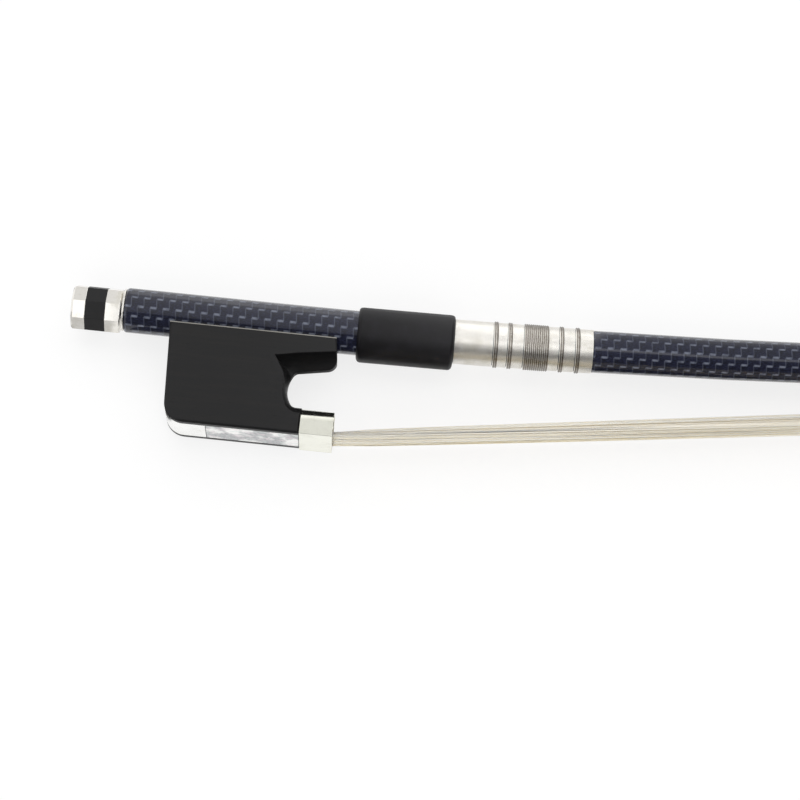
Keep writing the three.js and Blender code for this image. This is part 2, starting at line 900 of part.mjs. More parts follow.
function tongue() {
  const half = ferruleHalf - ferruleWall - seatGap;
  const rise = ferruleRise - ferruleWall - seatGap;
  const section = archSection(half, ferruleShoulder, rise, tongueUnderside);
  return alongX(section, ferrulePlace - 2 * seatGap, ferruleFront - tongueSetback);
}

// The heel plate's outline, and with a margin the seat that it lies in
function heelPlateOutline(margin, overrun) {
  const shape = new THREE.Shape();
  const heelAngle = Math.PI + heelLean;
  const outer = heelCorner + overrun;
  const inner = heelCorner - heelPlateWall - margin;
  const out = new THREE.Vector2(Math.cos(heelAngle), Math.sin(heelAngle));
  const up = new THREE.Vector2(-Math.sin(heelLean), Math.cos(heelLean));
  const rise = heelPlateRise - heelCorner + margin;
  const foot = heelPlateFoot + margin;
  shape.moveTo(foot, heelCentre.y - outer);
  shape.lineTo(foot, heelCentre.y - inner);
  shape.absarc(heelCentre.x, heelCentre.y, inner, 1.5 * Math.PI, heelAngle, true);
  shape.lineTo(heelCentre.x + out.x * inner + up.x * rise, heelCentre.y + out.y * inner + up.y * rise);
  shape.lineTo(heelCentre.x + out.x * outer + up.x * rise, heelCentre.y + out.y * outer + up.y * rise);
  shape.absarc(heelCentre.x, heelCentre.y, outer, heelAngle, 1.5 * Math.PI, false);
  return shape;
}

// A pin through the heel plate, square to the heel
function heelPin(index, radius, from, to) {
  const height = pinFirst + pinSpacing * index;
  const pin = alongX(disc(radius), from, to, arcSteps);
  const out = heelCorner;
  return pin
    .rotateZ(heelLean)
    .translate(
      heelCentre.x - out * Math.cos(heelLean) - height * Math.sin(heelLean),
      heelCentre.y - out * Math.sin(heelLean) + height * Math.cos(heelLean),
      0,
    );
}

// A slice of the dovetailed slide between two depths
function slideSlice(low, high, from, to, margin) {
  const flare = (depth) => (dovetailFlare * (frogDepth - depth)) / (frogDepth - slideTop);
  const lowHalf = slideHalf + margin + flare(low);
  const highHalf = slideHalf + margin + flare(high);
  const section = polygon([
    [-low, -lowHalf],
    [-high, -highHalf],
    [-high, highHalf],
    [-low, lowHalf],
  ]);
  return alongX(section, from, to);
}

const slideStart = heelPlateFoot + runningGap;
const slideEnd = ferrulePlace - runningGap;

function frogBody() {
  const blank = taperSides(acrossZ(frogOutline(), frogFootHalf, arcSteps, frogEdge));
  const beyond = frogLength + cutOverrun * 4;
  const railTop = railDepth + linerWall;
  const topCut = alongX(rectangle(-railTop, -beyond, beyond, beyond), -beyond, beyond);
  const channel = rod(channelRadius + linerWall + seatGap, -cutOverrun, beyond);
  const hollowed = cut(blank, topCut, channel, cove(1), cove(-1));
  const slot = slideSlice(
    frogDepth + cutOverrun,
    slideTop - seatGap,
    heelPlateFoot - heelPlateWall,
    beyond,
    2 * seatGap,
  );
  const plateSeat = acrossZ(heelPlateOutline(seatGap, cutOverrun), slideHalf + seatGap);
  const hairHalf = hairInnerWidth / 2 + looseGap;
  const hairWay = alongX(
    rectangle(-slideTop, -hairHalf, -hairChannelDepth, hairHalf),
    mortisePlace,
    ferrulePlace + cutOverrun,
  );
  const mortise = alongX(
    rectangle(-slideTop, -mortiseHalf, -mortiseTop, mortiseHalf),
    mortisePlace,
    mortisePlace + mortiseLength,
  );
  const eyeletHole = post(
    eyeletPostRadius + seatGap,
    eyeletPlace,
    -eyeletPostReach - looseGap,
    -eyeletBase,
  );
  const pinHoles = [0, 1].map((i) => heelPin(i, pinRadius + seatGap, -cutOverrun, pinLength + seatGap));
  return cut(join(hollowed, tongue()), slot, plateSeat, hairWay, mortise, eyeletHole, ...pinHoles);
}

function underslide() {
  const inner = channelRadius;
  const outer = channelRadius + linerWall;
  const railTop = railDepth + linerWall;
  const innerAngle = Math.acos(railDepth / inner);
  const outerAngle = Math.acos(railTop / outer);
  const shape = new THREE.Shape();
  shape.moveTo(-railDepth, -frogTopHalf);
  shape.lineTo(-railDepth, -inner * Math.sin(innerAngle));
  shape.absarc(0, 0, inner, Math.PI + innerAngle, Math.PI - innerAngle, true);
  shape.lineTo(-railDepth, frogTopHalf);
  shape.lineTo(-railTop, frogTopHalf);
  shape.absarc(0, 0, outer, Math.PI - outerAngle, Math.PI + outerAngle, false);
  shape.lineTo(-railTop, -frogTopHalf);
  const strip = alongX(shape, 0, frogLength, roundSteps);
  const hole = post(eyeletPostRadius + seatGap, eyeletPlace, -outer - cutOverrun, 0);
  return cut(strip, hole);
}

function eyelet() {
  const half = eyeletWidth / 2;
  const from = eyeletPlace - eyeletLength / 2;
  const block = alongX(rectangle(-eyeletBase, -half, eyeletTop, half), from, from + eyeletLength);
  const stem = post(eyeletPostRadius, eyeletPlace, -eyeletPostReach, -eyeletBase + seatGap);
  const bore = boreForScrew(screwRadius + seatGap, from - cutOverrun, from + eyeletLength + cutOverrun);
  return cut(join(block, stem), bore);
}

function ferrule() {
  const foot = frogDepth + ferruleProud;
  const outer = archSection(ferruleHalf, ferruleShoulder, ferruleRise, foot);
  const inner = archSection(
    ferruleHalf - ferruleWall,
    ferruleShoulder,
    ferruleRise - ferruleWall,
    foot - ferruleWall,
  );
  const block = alongX(outer, ferrulePlace, ferruleFront);
  const mouth = alongX(inner, ferrulePlace - cutOverrun, ferruleFront + cutOverrun);
  return cut(block, mouth);
}

function pearlSlide() {
  return slideSlice(frogDepth, frogDepth - pearlWall, slideStart, slideEnd, 0);
}

function slideBack() {
  return slideSlice(frogDepth - pearlWall, slideTop, slideStart, slideEnd, 0);
}

function heelPlate() {
  const plate = acrossZ(heelPlateOutline(0, 0), slideHalf);
  const holes = [0, 1].map((i) => heelPin(i, pinRadius + seatGap, -cutOverrun, pinLength));
  return cut(plate, ...holes);
}

function frogHairKnot() {
  const from = mortisePlace + looseGap;
  const low = -mortiseTop - knotHeight - looseGap;
  return alongX(rectangle(low, -mortiseHalf + looseGap, low + knotHeight, mortiseHalf - looseGap), from, from + knotLength);
}

function frogPlug() {
  const to = mortisePlace + mortiseLength - looseGap;
  const low = -hairInnerDepth + hairThickness / 2 + looseGap;
  const half = mortiseHalf - looseGap;
  return alongX(rectangle(low, -half, -mortiseTop - looseGap, half), to - plugLength, to);
}

// The hair's depth below the axis between the slide's end and the ferrule's mouth
function hairDepthAt(x) {
  return between(
    [
      [ferrulePlace, hairInnerDepth],
      [ferruleFront, hairMouthDepth],
    ],
    x,
  );
}

function spreadWedge() {
  const to = ferruleFront - tongueSetback;
  const from = to - wedgeLength;
  const above = hairThickness / 2 + looseGap;
  const outline = polygon([
    [from, -hairDepthAt(from) + above],
    [to, -hairDepthAt(to) + above],
    [to, -tongueUnderside - seatGap],
    [from, -tongueUnderside - seatGap],
  ]);
  return acrossZ(outline, wedgeHalf);
}

// Hair: one flat ribbon from the knot in the frog, through the ferrule, along its line and up into the head

function hairRibbon() {
  const line = [];
  const widths = [];
  const add = (x, y, width) => {
    line.push(new THREE.Vector2(x, y));
    widths.push(width);
  };
  const turnSteps = 5;
  const upX = heelPlace + mortisePlace + looseGap + knotLength / 2;
  add(upX, -mortiseTop - knotHeight - 2 * looseGap, hairInnerWidth - 2 * looseGap);
  for (let i = 0; i <= turnSteps; i++) {
    const angle = Math.PI + ((Math.PI / 2) * i) / turnSteps;
    const x = upX + hairTurn + hairTurn * Math.cos(angle);
    add(x, hairTurn - hairInnerDepth + hairTurn * Math.sin(angle), hairInnerWidth - 2 * looseGap);
  }
  add(heelPlace + ferrulePlace, -hairInnerDepth, hairInnerWidth);
  add(mouthPoint.x, mouthPoint.y, hairMouthWidth);
  const along = new THREE.Vector2(Math.cos(hairAngle), Math.sin(hairAngle));
  const up = new THREE.Vector2(-along.y, along.x);
  const runSteps = 12;
  const runLength = mouthPoint.distanceTo(tipPoint) + tipHairPlace - tipTurn;
  for (let i = 1; i <= runSteps; i++) {
    const run = (runLength * i) / runSteps;
    const width = hairMouthWidth + ((hairTipWidth - hairMouthWidth) * i) / runSteps;
    add(mouthPoint.x + along.x * run, mouthPoint.y + along.y * run, width);
  }
  const turnFoot = line[line.length - 1].clone();
  for (let i = 1; i <= turnSteps; i++) {
    const angle = ((Math.PI / 2) * i) / turnSteps;
    const point = turnFoot.clone();
    point.addScaledVector(along, tipTurn * Math.sin(angle)).addScaledVector(up, tipTurn * (1 - Math.cos(angle)));
    add(point.x, point.y, hairTipWidth);
  }
  const risen = line[line.length - 1].clone().addScaledVector(up, tipHairRise);
  add(risen.x, risen.y, hairTipWidth);
  const rings = line.map((point, i) => {
    const ahead = line[Math.min(i + 1, line.length - 1)].clone().sub(point).normalize();
    const behind = point.clone().sub(line[Math.max(i - 1, 0)]).normalize();
    const way = ahead.add(behind).normalize();
    const side = new THREE.Vector2(-way.y, way.x).multiplyScalar(hairThickness / 2);
    const half = widths[i] / 2;
    return [
      new THREE.Vector3(point.x - side.x, point.y - side.y, -half),
      new THREE.Vector3(point.x + side.x, point.y + side.y, -half),
      new THREE.Vector3(point.x + side.x, point.y + side.y, half),
      new THREE.Vector3(point.x - side.x, point.y - side.y, half),
    ];
  });
  return skin(rings);
}

// Tip pieces, drawn in the head's own frame

function tipPlate() {
  const rings = [];
  const steps = 14;
  for (let i = 0; i <= steps; i++) {
    const u = (headLength * i) / steps;
    const low = plateFace + noseLiftAt(u);
    const half = plateHalfAt(u);
    rings.push([
      new THREE.Vector3(u, low, -half),
      new THREE.Vector3(u, low + plateWall, -half),
      new THREE.Vector3(u, low + plateWall, half),
      new THREE.Vector3(u, low, half),
    ]);
  }
  return cut(skin(rings), tipMortise());
}

function tipWedge() {
  const from = tipMortiseStart + looseGap;
  const outline = rectangle(from, plateFace, from + tipWedgeLength, plateFace + tipWedgeDepth);
  return acrossZ(outline, tipMortiseHalf - looseGap);
}

function tipHairKnot() {
  const from = tipHairPlace - hairThickness / 2;
  const to = tipMortiseStart + tipMortiseLength - looseGap;
  const low = tipTurn + tipHairRise + looseGap;
  return acrossZ(rectangle(from, low, to, low + tipKnotHeight), tipMortiseHalf - looseGap);
}

// The bow: groups for what moves together

const stickGroup = new THREE.Group();
stickGroup.add(
  named("carbon_stick", carbonStick(), carbon()),
  named("handle_insert", handleInsert(), material(0x3a3028, 0.6)),
  named("butt_collar", buttCollar(), silver()),
  named("thumb_grip", thumbGrip(), material(0x1c1c1e, 0.75)),
  named("silver_lapping", silverLapping(), silver()),
  named("dark_middle_band", darkTurns("dark middle band", middleBandShare, middleBandLoops), carbon()),
  named("hair_ribbon", hairRibbon(), material(0xe3d8c2, 0.5)),
);
const bandNames = ["dark_turn_by_grip", "dark_turn_before_band", "dark_turn_after_band", "dark_turn_at_far_end"];
bandNames.forEach((name, i) => {
  stickGroup.add(named(name, darkTurns(name, thinBandShares[i], 1), carbon()));
});

const headGroup = new THREE.Group();
headGroup.position.set(tipPoint.x, tipPoint.y, 0);
headGroup.rotation.z = hairAngle;
headGroup.add(
  named("tip_plate", tipPlate(), material(0xe9e4d6, 0.35)),
  named("tip_wedge", tipWedge(), boxwood()),
  named("tip_hair_knot", tipHairKnot(), material(0xd8ccb4, 0.6)),
);

const frogGroup = new THREE.Group();
frogGroup.position.x = heelPlace;
frogGroup.add(
  named("frog", frogBody(), ebony()),
  named("underslide", underslide(), silver()),
  named("eyelet", eyelet(), brass()),
  named("ferrule", ferrule(), silver()),
  named("pearl_slide", pearlSlide(), material(0xd9dad6, 0.3)),
  named("slide_backing", slideBack(), ebony()),
  named("heel_plate", heelPlate(), silver()),
  named("frog_plug", frogPlug(), boxwood()),
  named("frog_hair_knot", frogHairKnot(), material(0xd8ccb4, 0.6)),
  named("spread_wedge", spreadWedge(), boxwood()),
);
["heel_pin_lower", "heel_pin_upper"].forEach((name, i) => {
  frogGroup.add(named(name, heelPin(i, pinRadius, 0, pinLength - seatGap), silver()));
});

const buttonGroup = new THREE.Group();
buttonGroup.position.y = -screwDrop;
buttonGroup.rotation.x = -buttonRoll;
buttonGroup.add(
  named("button_cap", buttonCap(), silver()),
  named("button_core", buttonCore(), ebony()),
  named("button_ring", buttonRing(), silver()),
  named("screw", screw(), steel()),
);

const bow = new THREE.Group();
bow.add(stickGroup, headGroup, frogGroup, buttonGroup);

export default bow;
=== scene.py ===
import math
import random

import bmesh
import bpy
from mathutils import Matrix, Vector


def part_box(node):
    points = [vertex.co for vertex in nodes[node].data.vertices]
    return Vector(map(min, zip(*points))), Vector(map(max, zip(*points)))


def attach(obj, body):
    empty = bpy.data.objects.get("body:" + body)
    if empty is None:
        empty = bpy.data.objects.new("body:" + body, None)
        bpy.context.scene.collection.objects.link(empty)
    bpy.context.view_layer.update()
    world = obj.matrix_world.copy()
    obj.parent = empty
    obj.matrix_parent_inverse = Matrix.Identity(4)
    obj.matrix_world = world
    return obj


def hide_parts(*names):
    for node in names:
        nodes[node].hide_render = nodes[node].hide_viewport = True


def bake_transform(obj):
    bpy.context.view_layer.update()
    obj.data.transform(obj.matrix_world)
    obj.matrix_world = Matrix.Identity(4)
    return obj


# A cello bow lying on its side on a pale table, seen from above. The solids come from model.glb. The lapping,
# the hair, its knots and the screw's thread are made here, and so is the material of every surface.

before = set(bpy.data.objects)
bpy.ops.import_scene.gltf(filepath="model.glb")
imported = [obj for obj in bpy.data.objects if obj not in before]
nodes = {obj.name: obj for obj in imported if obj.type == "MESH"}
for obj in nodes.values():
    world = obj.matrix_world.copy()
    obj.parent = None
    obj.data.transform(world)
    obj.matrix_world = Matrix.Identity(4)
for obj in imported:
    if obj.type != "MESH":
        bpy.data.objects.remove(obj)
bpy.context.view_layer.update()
mm = 0.001
chance = random.Random(7)


def linear(hexColor):
    channels = []
    for shift in (16, 8, 0):
        value = (hexColor >> shift & 255) / 255
        channels.append(value / 12.92 if value <= 0.04045 else ((value + 0.055) / 1.055) ** 2.4)
    return (*channels, 1)


# Adds one shader node. An input may be a number, a colour, a socket, or a node, whose first output it takes.
def addNode(tree, kind, inputs=None, **settings):
    made = tree.nodes.new("ShaderNode" + kind)
    for key, value in settings.items():
        setattr(made, key, value)
    for key, value in (inputs or {}).items():
        if isinstance(value, bpy.types.Node):
            value = value.outputs[0]
        if isinstance(value, bpy.types.NodeSocket):
            tree.links.new(value, made.inputs[key])
        else:
            made.inputs[key].default_value = value
    return made


def calc(tree, operation, *values):
    return addNode(tree, "Math", dict(enumerate(values)), operation=operation)


def mixColors(tree, factor, first, second, blend="MIX"):
    made = addNode(tree, "Mix", {0: factor, 6: first, 7: second}, data_type="RGBA", blend_type=blend)
    return made.outputs[2]


# A value carried from one range to another, smoothly and held at both ends
def fade(tree, value, fromLow, fromHigh, toLow=0, toHigh=1):
    ranges = {"Value": value, 1: fromLow, 2: fromHigh, 3: toLow, 4: toHigh}
    return addNode(tree, "MapRange", ranges, interpolation_type="SMOOTHSTEP")


def stretched(tree, place, scale):
    return addNode(tree, "VectorMath", {0: place, 1: scale}, operation="MULTIPLY")


def noise(tree, place, scale, detail=3, roughness=0.5):
    values = {"Vector": place, "Scale": scale, "Detail": detail, "Roughness": roughness}
    return addNode(tree, "TexNoise", values)


def bumped(tree, height, strength, depth, under=None):
    values = {"Height": height, "Strength": strength, "Distance": depth * mm}
    if under is not None:
        values["Normal"] = under
    return addNode(tree, "Bump", values)


# An empty material: its shader, and the place on the bow in millimetres
def newMaterial(name, **uniform):
    material = bpy.data.materials.new(name)
    material.use_nodes = True
    tree = material.node_tree
    tree.nodes.clear()
    surface = addNode(tree, "BsdfPrincipled", uniform)
    addNode(tree, "OutputMaterial", {"Surface": surface})
    place = addNode(tree, "TexCoord").outputs["Object"]
    scaled = addNode(tree, "VectorMath", {0: place, "Scale": 1 / mm}, operation="SCALE")
    return material, tree, surface, scaled


def feed(tree, surface, **sockets):
    names = {"color": "Base Color", "roughness": "Roughness", "normal": "Normal", "coatNormal": "Coat Normal"}
    for key, value in sockets.items():
        source = value.outputs[0] if isinstance(value, bpy.types.Node) else value
        tree.links.new(source, surface.inputs[names[key]])


def dress(name, material):
    slots = nodes[name].data.materials
    slots.clear()
    slots.append(material)


# Corner normals for a CAD node: faces that meet at less than the limit shade as one surface
def smoothNode(name, limit=32):
    mesh = nodes[name].data
    mesh.shade_smooth()
    meeting = {}
    for face in mesh.polygons:
        for corner in face.loop_indices:
            point = mesh.vertices[mesh.loops[corner].vertex_index].co
            key = tuple(round(value / mm, 3) for value in point)
            meeting.setdefault(key, []).append((corner, face.normal.copy(), face.area))
    flattest = math.cos(math.radians(limit))
    normals = [None] * len(mesh.loops)
    for corners in meeting.values():
        for corner, own, _ in corners:
            total = Vector()
            for _, normal, weight in corners:
                if normal.dot(own) > flattest:
                    total += normal * weight
            normals[corner] = total.normalized() if total.length > 0 else own
    mesh.normals_split_custom_set(normals)


# A new piece from sweeps: each is a tone and its rings of points, capped at both ends
def sweptPiece(name, sweeps, material, body=None):
    build = bmesh.new()
    layer = build.loops.layers.uv.new("strand")
    for tone, rings in sweeps:
        rows = [[build.verts.new(point) for point in ring] for ring in rings]
        run = 0
        for i, (near, far) in enumerate(zip(rows, rows[1:])):
            step = (rings[i + 1][0] - rings[i][0]).length / mm
            for j in range(len(near)):
                k = (j + 1) % len(near)
                face = build.faces.new((near[j], near[k], far[k], far[j]))
                for loop, along in zip(face.loops, (run, run, run + step, run + step)):
                    loop[layer].uv = (tone, along)
            run += step
        build.faces.new(list(reversed(rows[0])))
        build.faces.new(rows[-1])
    bmesh.ops.recalc_face_normals(build, faces=build.faces)
    mesh = bpy.data.meshes.new(name)
    build.to_mesh(mesh)
    build.free()
    mesh.shade_smooth()
    mesh.set_sharp_from_angle(angle=math.radians(60))
    mesh.materials.append(material)
    piece = bpy.data.objects.new(name, mesh)
    bpy.context.scene.collection.objects.link(piece)
    if body:
        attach(piece, body)
    return piece


# The camera, at the photograph's viewing angle
camera = {"lens": 122.85, "distance": 700, "target": (86.318, -16.694, 0), "tilt": 17, "roll": 5.8}


def makeCamera(values):
    tilt = math.radians(values["tilt"])
    roll = math.radians(values["roll"])
    back = Vector((0, -math.sin(tilt), math.cos(tilt)))
    level = back.cross(Vector((1, 0, 0)))
    right = Vector((1, 0, 0)) * math.cos(roll) + level * math.sin(roll)
    up = back.cross(right)
    data = bpy.data.cameras.new("camera")
    data.lens = values["lens"]
    data.clip_start = 0.01
    eye = bpy.data.objects.new("camera", data)
    turn = Matrix((right, up, back)).transposed().to_4x4()
    spot = Vector(values["target"]) + back * values["distance"]
    eye.matrix_world = Matrix.Translation(spot * mm) @ turn
    bpy.context.scene.collection.objects.link(eye)
    bpy.context.scene.camera = eye


makeCamera(camera)
print("stage: camera")


# The pale table. To the camera and in reflections it is white with a soft share of the real shadow.
table = {
    "half": 3000,
    "height": -7.13,
    "alongX": 0.000353,
    "alongY": 0.0209,
    "paper": 0xF2F2F2,
    "shadowShare": 0.22,
}


# The corners of an oblong, in order round it
def oblong(low, high, near, far):
    return (low, near), (high, near), (high, far), (low, far)


def tableHeight(x, y):
    return table["height"] + table["alongX"] * x + table["alongY"] * y


# The light path, and 1 where the camera, a reflection or a clear body looks, 0 where only light arrives
def directLook(tree):
    rays = addNode(tree, "LightPath")
    direct = calc(tree, "MAXIMUM", rays.outputs["Is Camera Ray"], rays.outputs["Is Glossy Ray"])
    return rays, calc(tree, "MAXIMUM", direct, rays.outputs["Is Transmission Ray"])


def makeTable(values):
    half = values["half"]
    build = bmesh.new()
    corners = []
    for x, y in oblong(-half, half, -half, half):
        corners.append(build.verts.new(Vector((x, y, tableHeight(x, y))) * mm))
    build.faces.new(corners)
    mesh = bpy.data.meshes.new("table")
    build.to_mesh(mesh)
    build.free()
    material, tree, surface, _ = newMaterial("white matt paper sweep", **{"Roughness": 0.9})
    surface.inputs["Base Color"].default_value = linear(values["paper"])
    share = values["shadowShare"]
    shaded = addNode(tree, "BsdfDiffuse", {"Color": (share, share, share, 1)})
    glow = addNode(tree, "Emission", {"Color": (1, 1, 1, 1), "Strength": 1 - share})
    seen = addNode(tree, "AddShader", {0: shaded, 1: glow})
    _, direct = directLook(tree)
    both = addNode(tree, "MixShader", {0: direct, 1: surface, 2: seen})
    output = next(node for node in tree.nodes if node.type == "OUTPUT_MATERIAL")
    tree.links.new(both.outputs[0], output.inputs["Surface"])
    mesh.materials.append(material)
    floor = bpy.data.objects.new("table", mesh)
    bpy.context.scene.collection.objects.link(floor)


# The room: white where the camera or a reflection sees it, dimmer as a source of light
room = {"light": 0.58, "horizon": 0.72, "low": 0.3, "high": 0.85}


def makeRoom(values):
    world = bpy.data.worlds.new("room")
    world.use_nodes = True
    tree = world.node_tree
    tree.nodes.clear()
    rays, direct = directLook(tree)
    upward = addNode(tree, "SeparateXYZ", {0: addNode(tree, "TexCoord").outputs["Generated"]}).outputs[2]
    walls = fade(tree, upward, values["low"], values["high"], values["horizon"], 1)
    strength = calc(tree, "MAXIMUM", rays.outputs["Is Camera Ray"], walls)
    white = addNode(tree, "Background", {"Color": (1, 1, 1, 1), "Strength": strength})
    dim = addNode(tree, "Background", {"Color": (1, 1, 1, 1), "Strength": values["light"]})
    both = addNode(tree, "MixShader", {0: direct, 1: dim, 2: white})
    addNode(tree, "OutputWorld", {"Surface": both})
    bpy.context.scene.world = world
    bpy.context.scene.view_settings.view_transform = "Standard"


# Lamps: a wide soft box high beyond the stick, and a weaker one in front that fills the shadows
softBoxes = {
    "key": {"toward": (0, 0.6, 0.8), "over": 250, "distance": 900, "size": (1800, 1000), "radiance": 1.1},
    "fill": {"toward": (0, -0.85, 0.5), "over": 250, "distance": 900, "size": (1800, 900), "radiance": 0.9},
}


def makeLamp(name, values):
    data = bpy.data.lights.new(name, "AREA")
    data.shape = "RECTANGLE"
    data.size = values["size"][0] * mm
    data.size_y = values["size"][1] * mm
    data.energy = values["radiance"] * math.pi * data.size * data.size_y
    lamp = bpy.data.objects.new(name, data)
    away = Vector(values["toward"]).normalized()
    side = Vector((1, 0, 0))
    turn = Matrix((side, away.cross(side), away)).transposed().to_4x4()
    middle = Vector((values["over"], 0, 0)) + away * values["distance"]
    lamp.matrix_world = Matrix.Translation(middle * mm) @ turn
    lamp.visible_camera = False
    lamp.visible_glossy = False
    bpy.context.scene.collection.objects.link(lamp)


# Curved cards that only reflections see, as levels by the angle from straight up. Over the button: a bright
# patch. Round the stick: a light band far beyond it, a soft sky, and dark on the camera's side. All round it
# is brighter at the lapping, with one thin bright line past that. The parts fade into one another.
tunnels = {
    "card_over_button": {
        "span": (-70, 1),
        "from": -62,
        "to": 12,
        "parts": [{"levels": [(-62, 1.3), (12, 1.3)]}],
    },
    "card_round_stick": {
        "span": (2, 900),
        "from": -96,
        "to": 112,
        "parts": [
            {
                "levels": [
                    (-96, 0.02),
                    (-31, 0.02),
                    (-27, 0.55),
                    (-10, 0.75),
                    (16, 0.75),
                    (53, 1.05),
                    (68, 1.0),
                    (74, 1.75),
                    (112, 0.8),
                ],
            },
            {
                "blend": (98, 105),
                "levels": [
                    (-96, 2.3),
                    (-80, 1.7),
                    (-62, 0.8),
                    (-46, 0.95),
                    (-34, 2.4),
                    (-24, 3.4),
                    (55, 3.4),
                    (80, 2.4),
                    (112, 2.2),
                ],
            },
            {
                "blend": (137, 144),
                "levels": [
                    (-96, 0.02),
                    (-19, 0.1),
                    (-14, 0.35),
                    (-12, 1.7),
                    (-2, 1.7),
                    (0, 0.4),
                    (30, 0.5),
                    (69, 0.6),
                    (76, 0.75),
                    (95, 0.45),
                    (112, 0.25),
                ],
            },
        ],
    },
}
tunnelRadius = 120


# A stage object that only reflections see, glowing by the given colour and strength
def reflectedOnly(name, strips, paint):
    build = bmesh.new()
    for corners in strips:
        build.faces.new([build.verts.new(corner * mm) for corner in corners])
    mesh = bpy.data.meshes.new(name)
    build.to_mesh(mesh)
    build.free()
    material = bpy.data.materials.new(name.replace("_", " "))
    material.use_nodes = True
    tree = material.node_tree
    tree.nodes.clear()
    addNode(tree, "OutputMaterial", {"Surface": addNode(tree, "Emission", paint(tree))})
    mesh.materials.append(material)
    panel = bpy.data.objects.new(name, mesh)
    panel.visible_camera = False
    panel.visible_diffuse = False
    panel.visible_shadow = False
    panel.visible_transmission = False
    bpy.context.scene.collection.objects.link(panel)


def makeTunnel(name, values):
    strips = []
    low, high = values["span"]
    first, last = values["from"], values["to"]
    steps = 60
    edges = []
    for i in range(steps + 1):
        turn = math.radians(first + (last - first) * i / steps)
        edges.append((tunnelRadius * math.sin(turn), tunnelRadius * math.cos(turn)))
    for near, far in zip(edges, edges[1:]):
        strips.append([Vector((x, *edge)) for x, edge in oblong(low, high, near, far)])

    def paint(tree):
        x, y, z = addNode(tree, "SeparateXYZ", {0: addNode(tree, "TexCoord").outputs["Object"]}).outputs
        angle = calc(tree, "ARCTAN2", y, z)
        share = addNode(tree, "MapRange", {"Value": angle, 1: math.radians(first), 2: math.radians(last)})
        along = calc(tree, "MULTIPLY", x, 1 / mm)
        brightest = max(level for part in values["parts"] for _, level in part["levels"])
        color = None
        for part in values["parts"]:
            ramp = addNode(tree, "ValToRGB", {0: share})
            stops = ramp.color_ramp.elements
            for _ in part["levels"][2:]:
                stops.new(0.5)
            for stop, (degrees, level) in zip(stops, part["levels"]):
                stop.position = (degrees - first) / (last - first)
                stop.color = (*[level / brightest] * 3, 1)
            blend = fade(tree, along, *part["blend"]) if color else None
            color = mixColors(tree, blend, color, ramp) if color else ramp
        return {"Color": color, "Strength": brightest}

    reflectedOnly(name, strips, paint)


# Low down, seen only in reflections: dark strips on the table beside the stick and a grey one by the button,
# painted shadow of the bow on the table, and a dark card in the throat, painted shade under the beak
shadowCardsOnTable = {
    "shadow_card_by_butt": {"x": (14, 25.5), "y": (-15.5, -110), "lift": 0.3, "level": 0.02},
    "shadow_card_by_grip": {"x": (76, 99.5), "y": (-15.5, -110), "lift": 0.3, "level": 0.02},
    "shadow_card_by_stick": {"x": (136, 900), "y": (-7.5, -110), "lift": 0.3, "level": 0.02},
    "shadow_card_by_button": {"x": (-60, 9), "y": (-6, -110), "lift": 0.3, "level": 0.62},
}
throatShadeCard = {"x": (57, 76), "z": (-8, 9.8), "y": -13.6, "level": 0.01}


def makeFloorCard(name, values):
    corners = []
    (low, high), (near, far) = values["x"], values["y"]
    for x, y in oblong(low, high, near, far):
        corners.append(Vector((x, y, tableHeight(x, y) + values["lift"])))
    reflectedOnly(name, [corners], lambda tree: {"Strength": values["level"]})


# The card in the throat is painted shade under the beak, seen only in reflections
def makeThroatCard(values):
    (low, high), (back, front) = values["x"], values["z"]
    corners = [Vector((x, values["y"], z)) for x, z in oblong(low, high, back, front)]
    reflectedOnly("shade_card_in_throat", [corners], lambda tree: {"Strength": values["level"]})


makeTable(table)
makeRoom(room)
for name, values in softBoxes.items():
    makeLamp(name, values)
for name, values in tunnels.items():
    makeTunnel(name, values)
for name, values in shadowCardsOnTable.items():
    makeFloorCard(name, values)
makeThroatCard(throatShadeCard)
print("stage: table, room and lamps")


# Sizes shared with the solids, in millimetres
stickLine = {"start": 52, "change": 187, "nearBend": 2222, "farBend": 2967}


def camberHeight(x):
    nearRun = max(min(x, stickLine["change"]) - stickLine["start"], 0)
    farRun = max(x - stickLine["change"], 0)
    slope = nearRun / stickLine["nearBend"]
    near = nearRun * nearRun / (2 * stickLine["nearBend"])
    return near + slope * farRun + farRun * farRun / (2 * stickLine["farBend"])


def camberSlope(x):
    nearRun = max(min(x, stickLine["change"]) - stickLine["start"], 0)
    farRun = max(x - stickLine["change"], 0)
    return nearRun / stickLine["nearBend"] + farRun / stickLine["farBend"]


# Braided carbon under clear lacquer: navy bands of tow between stepped light lines, each line the edge where
# one tow dives under the next. The lines' light colour is partly the braid's pattern and partly a painted
# glint of the fibres at these edges. Fine fibre streaks lie under a hard gloss coat
braid = {
    "rows": 14,
    "turn": 0.26,
    "pitch": 3.27,
    "start": 0,
    "step": 1.43,
    "skew": 0.27,
    "rowHeight": 2.6,
    "upright": 0.22,
    "dash": 0.46,
    "tow": 0x111326,
    "towDark": 0x0B0C16,
    # line and bright: light tones that are partly the braid's pattern and partly a painted glint of its
    # fibres
    "line": 0x3E4250,
    "bright": 0x666B7A,
    "fibre": 0x22263C,
}


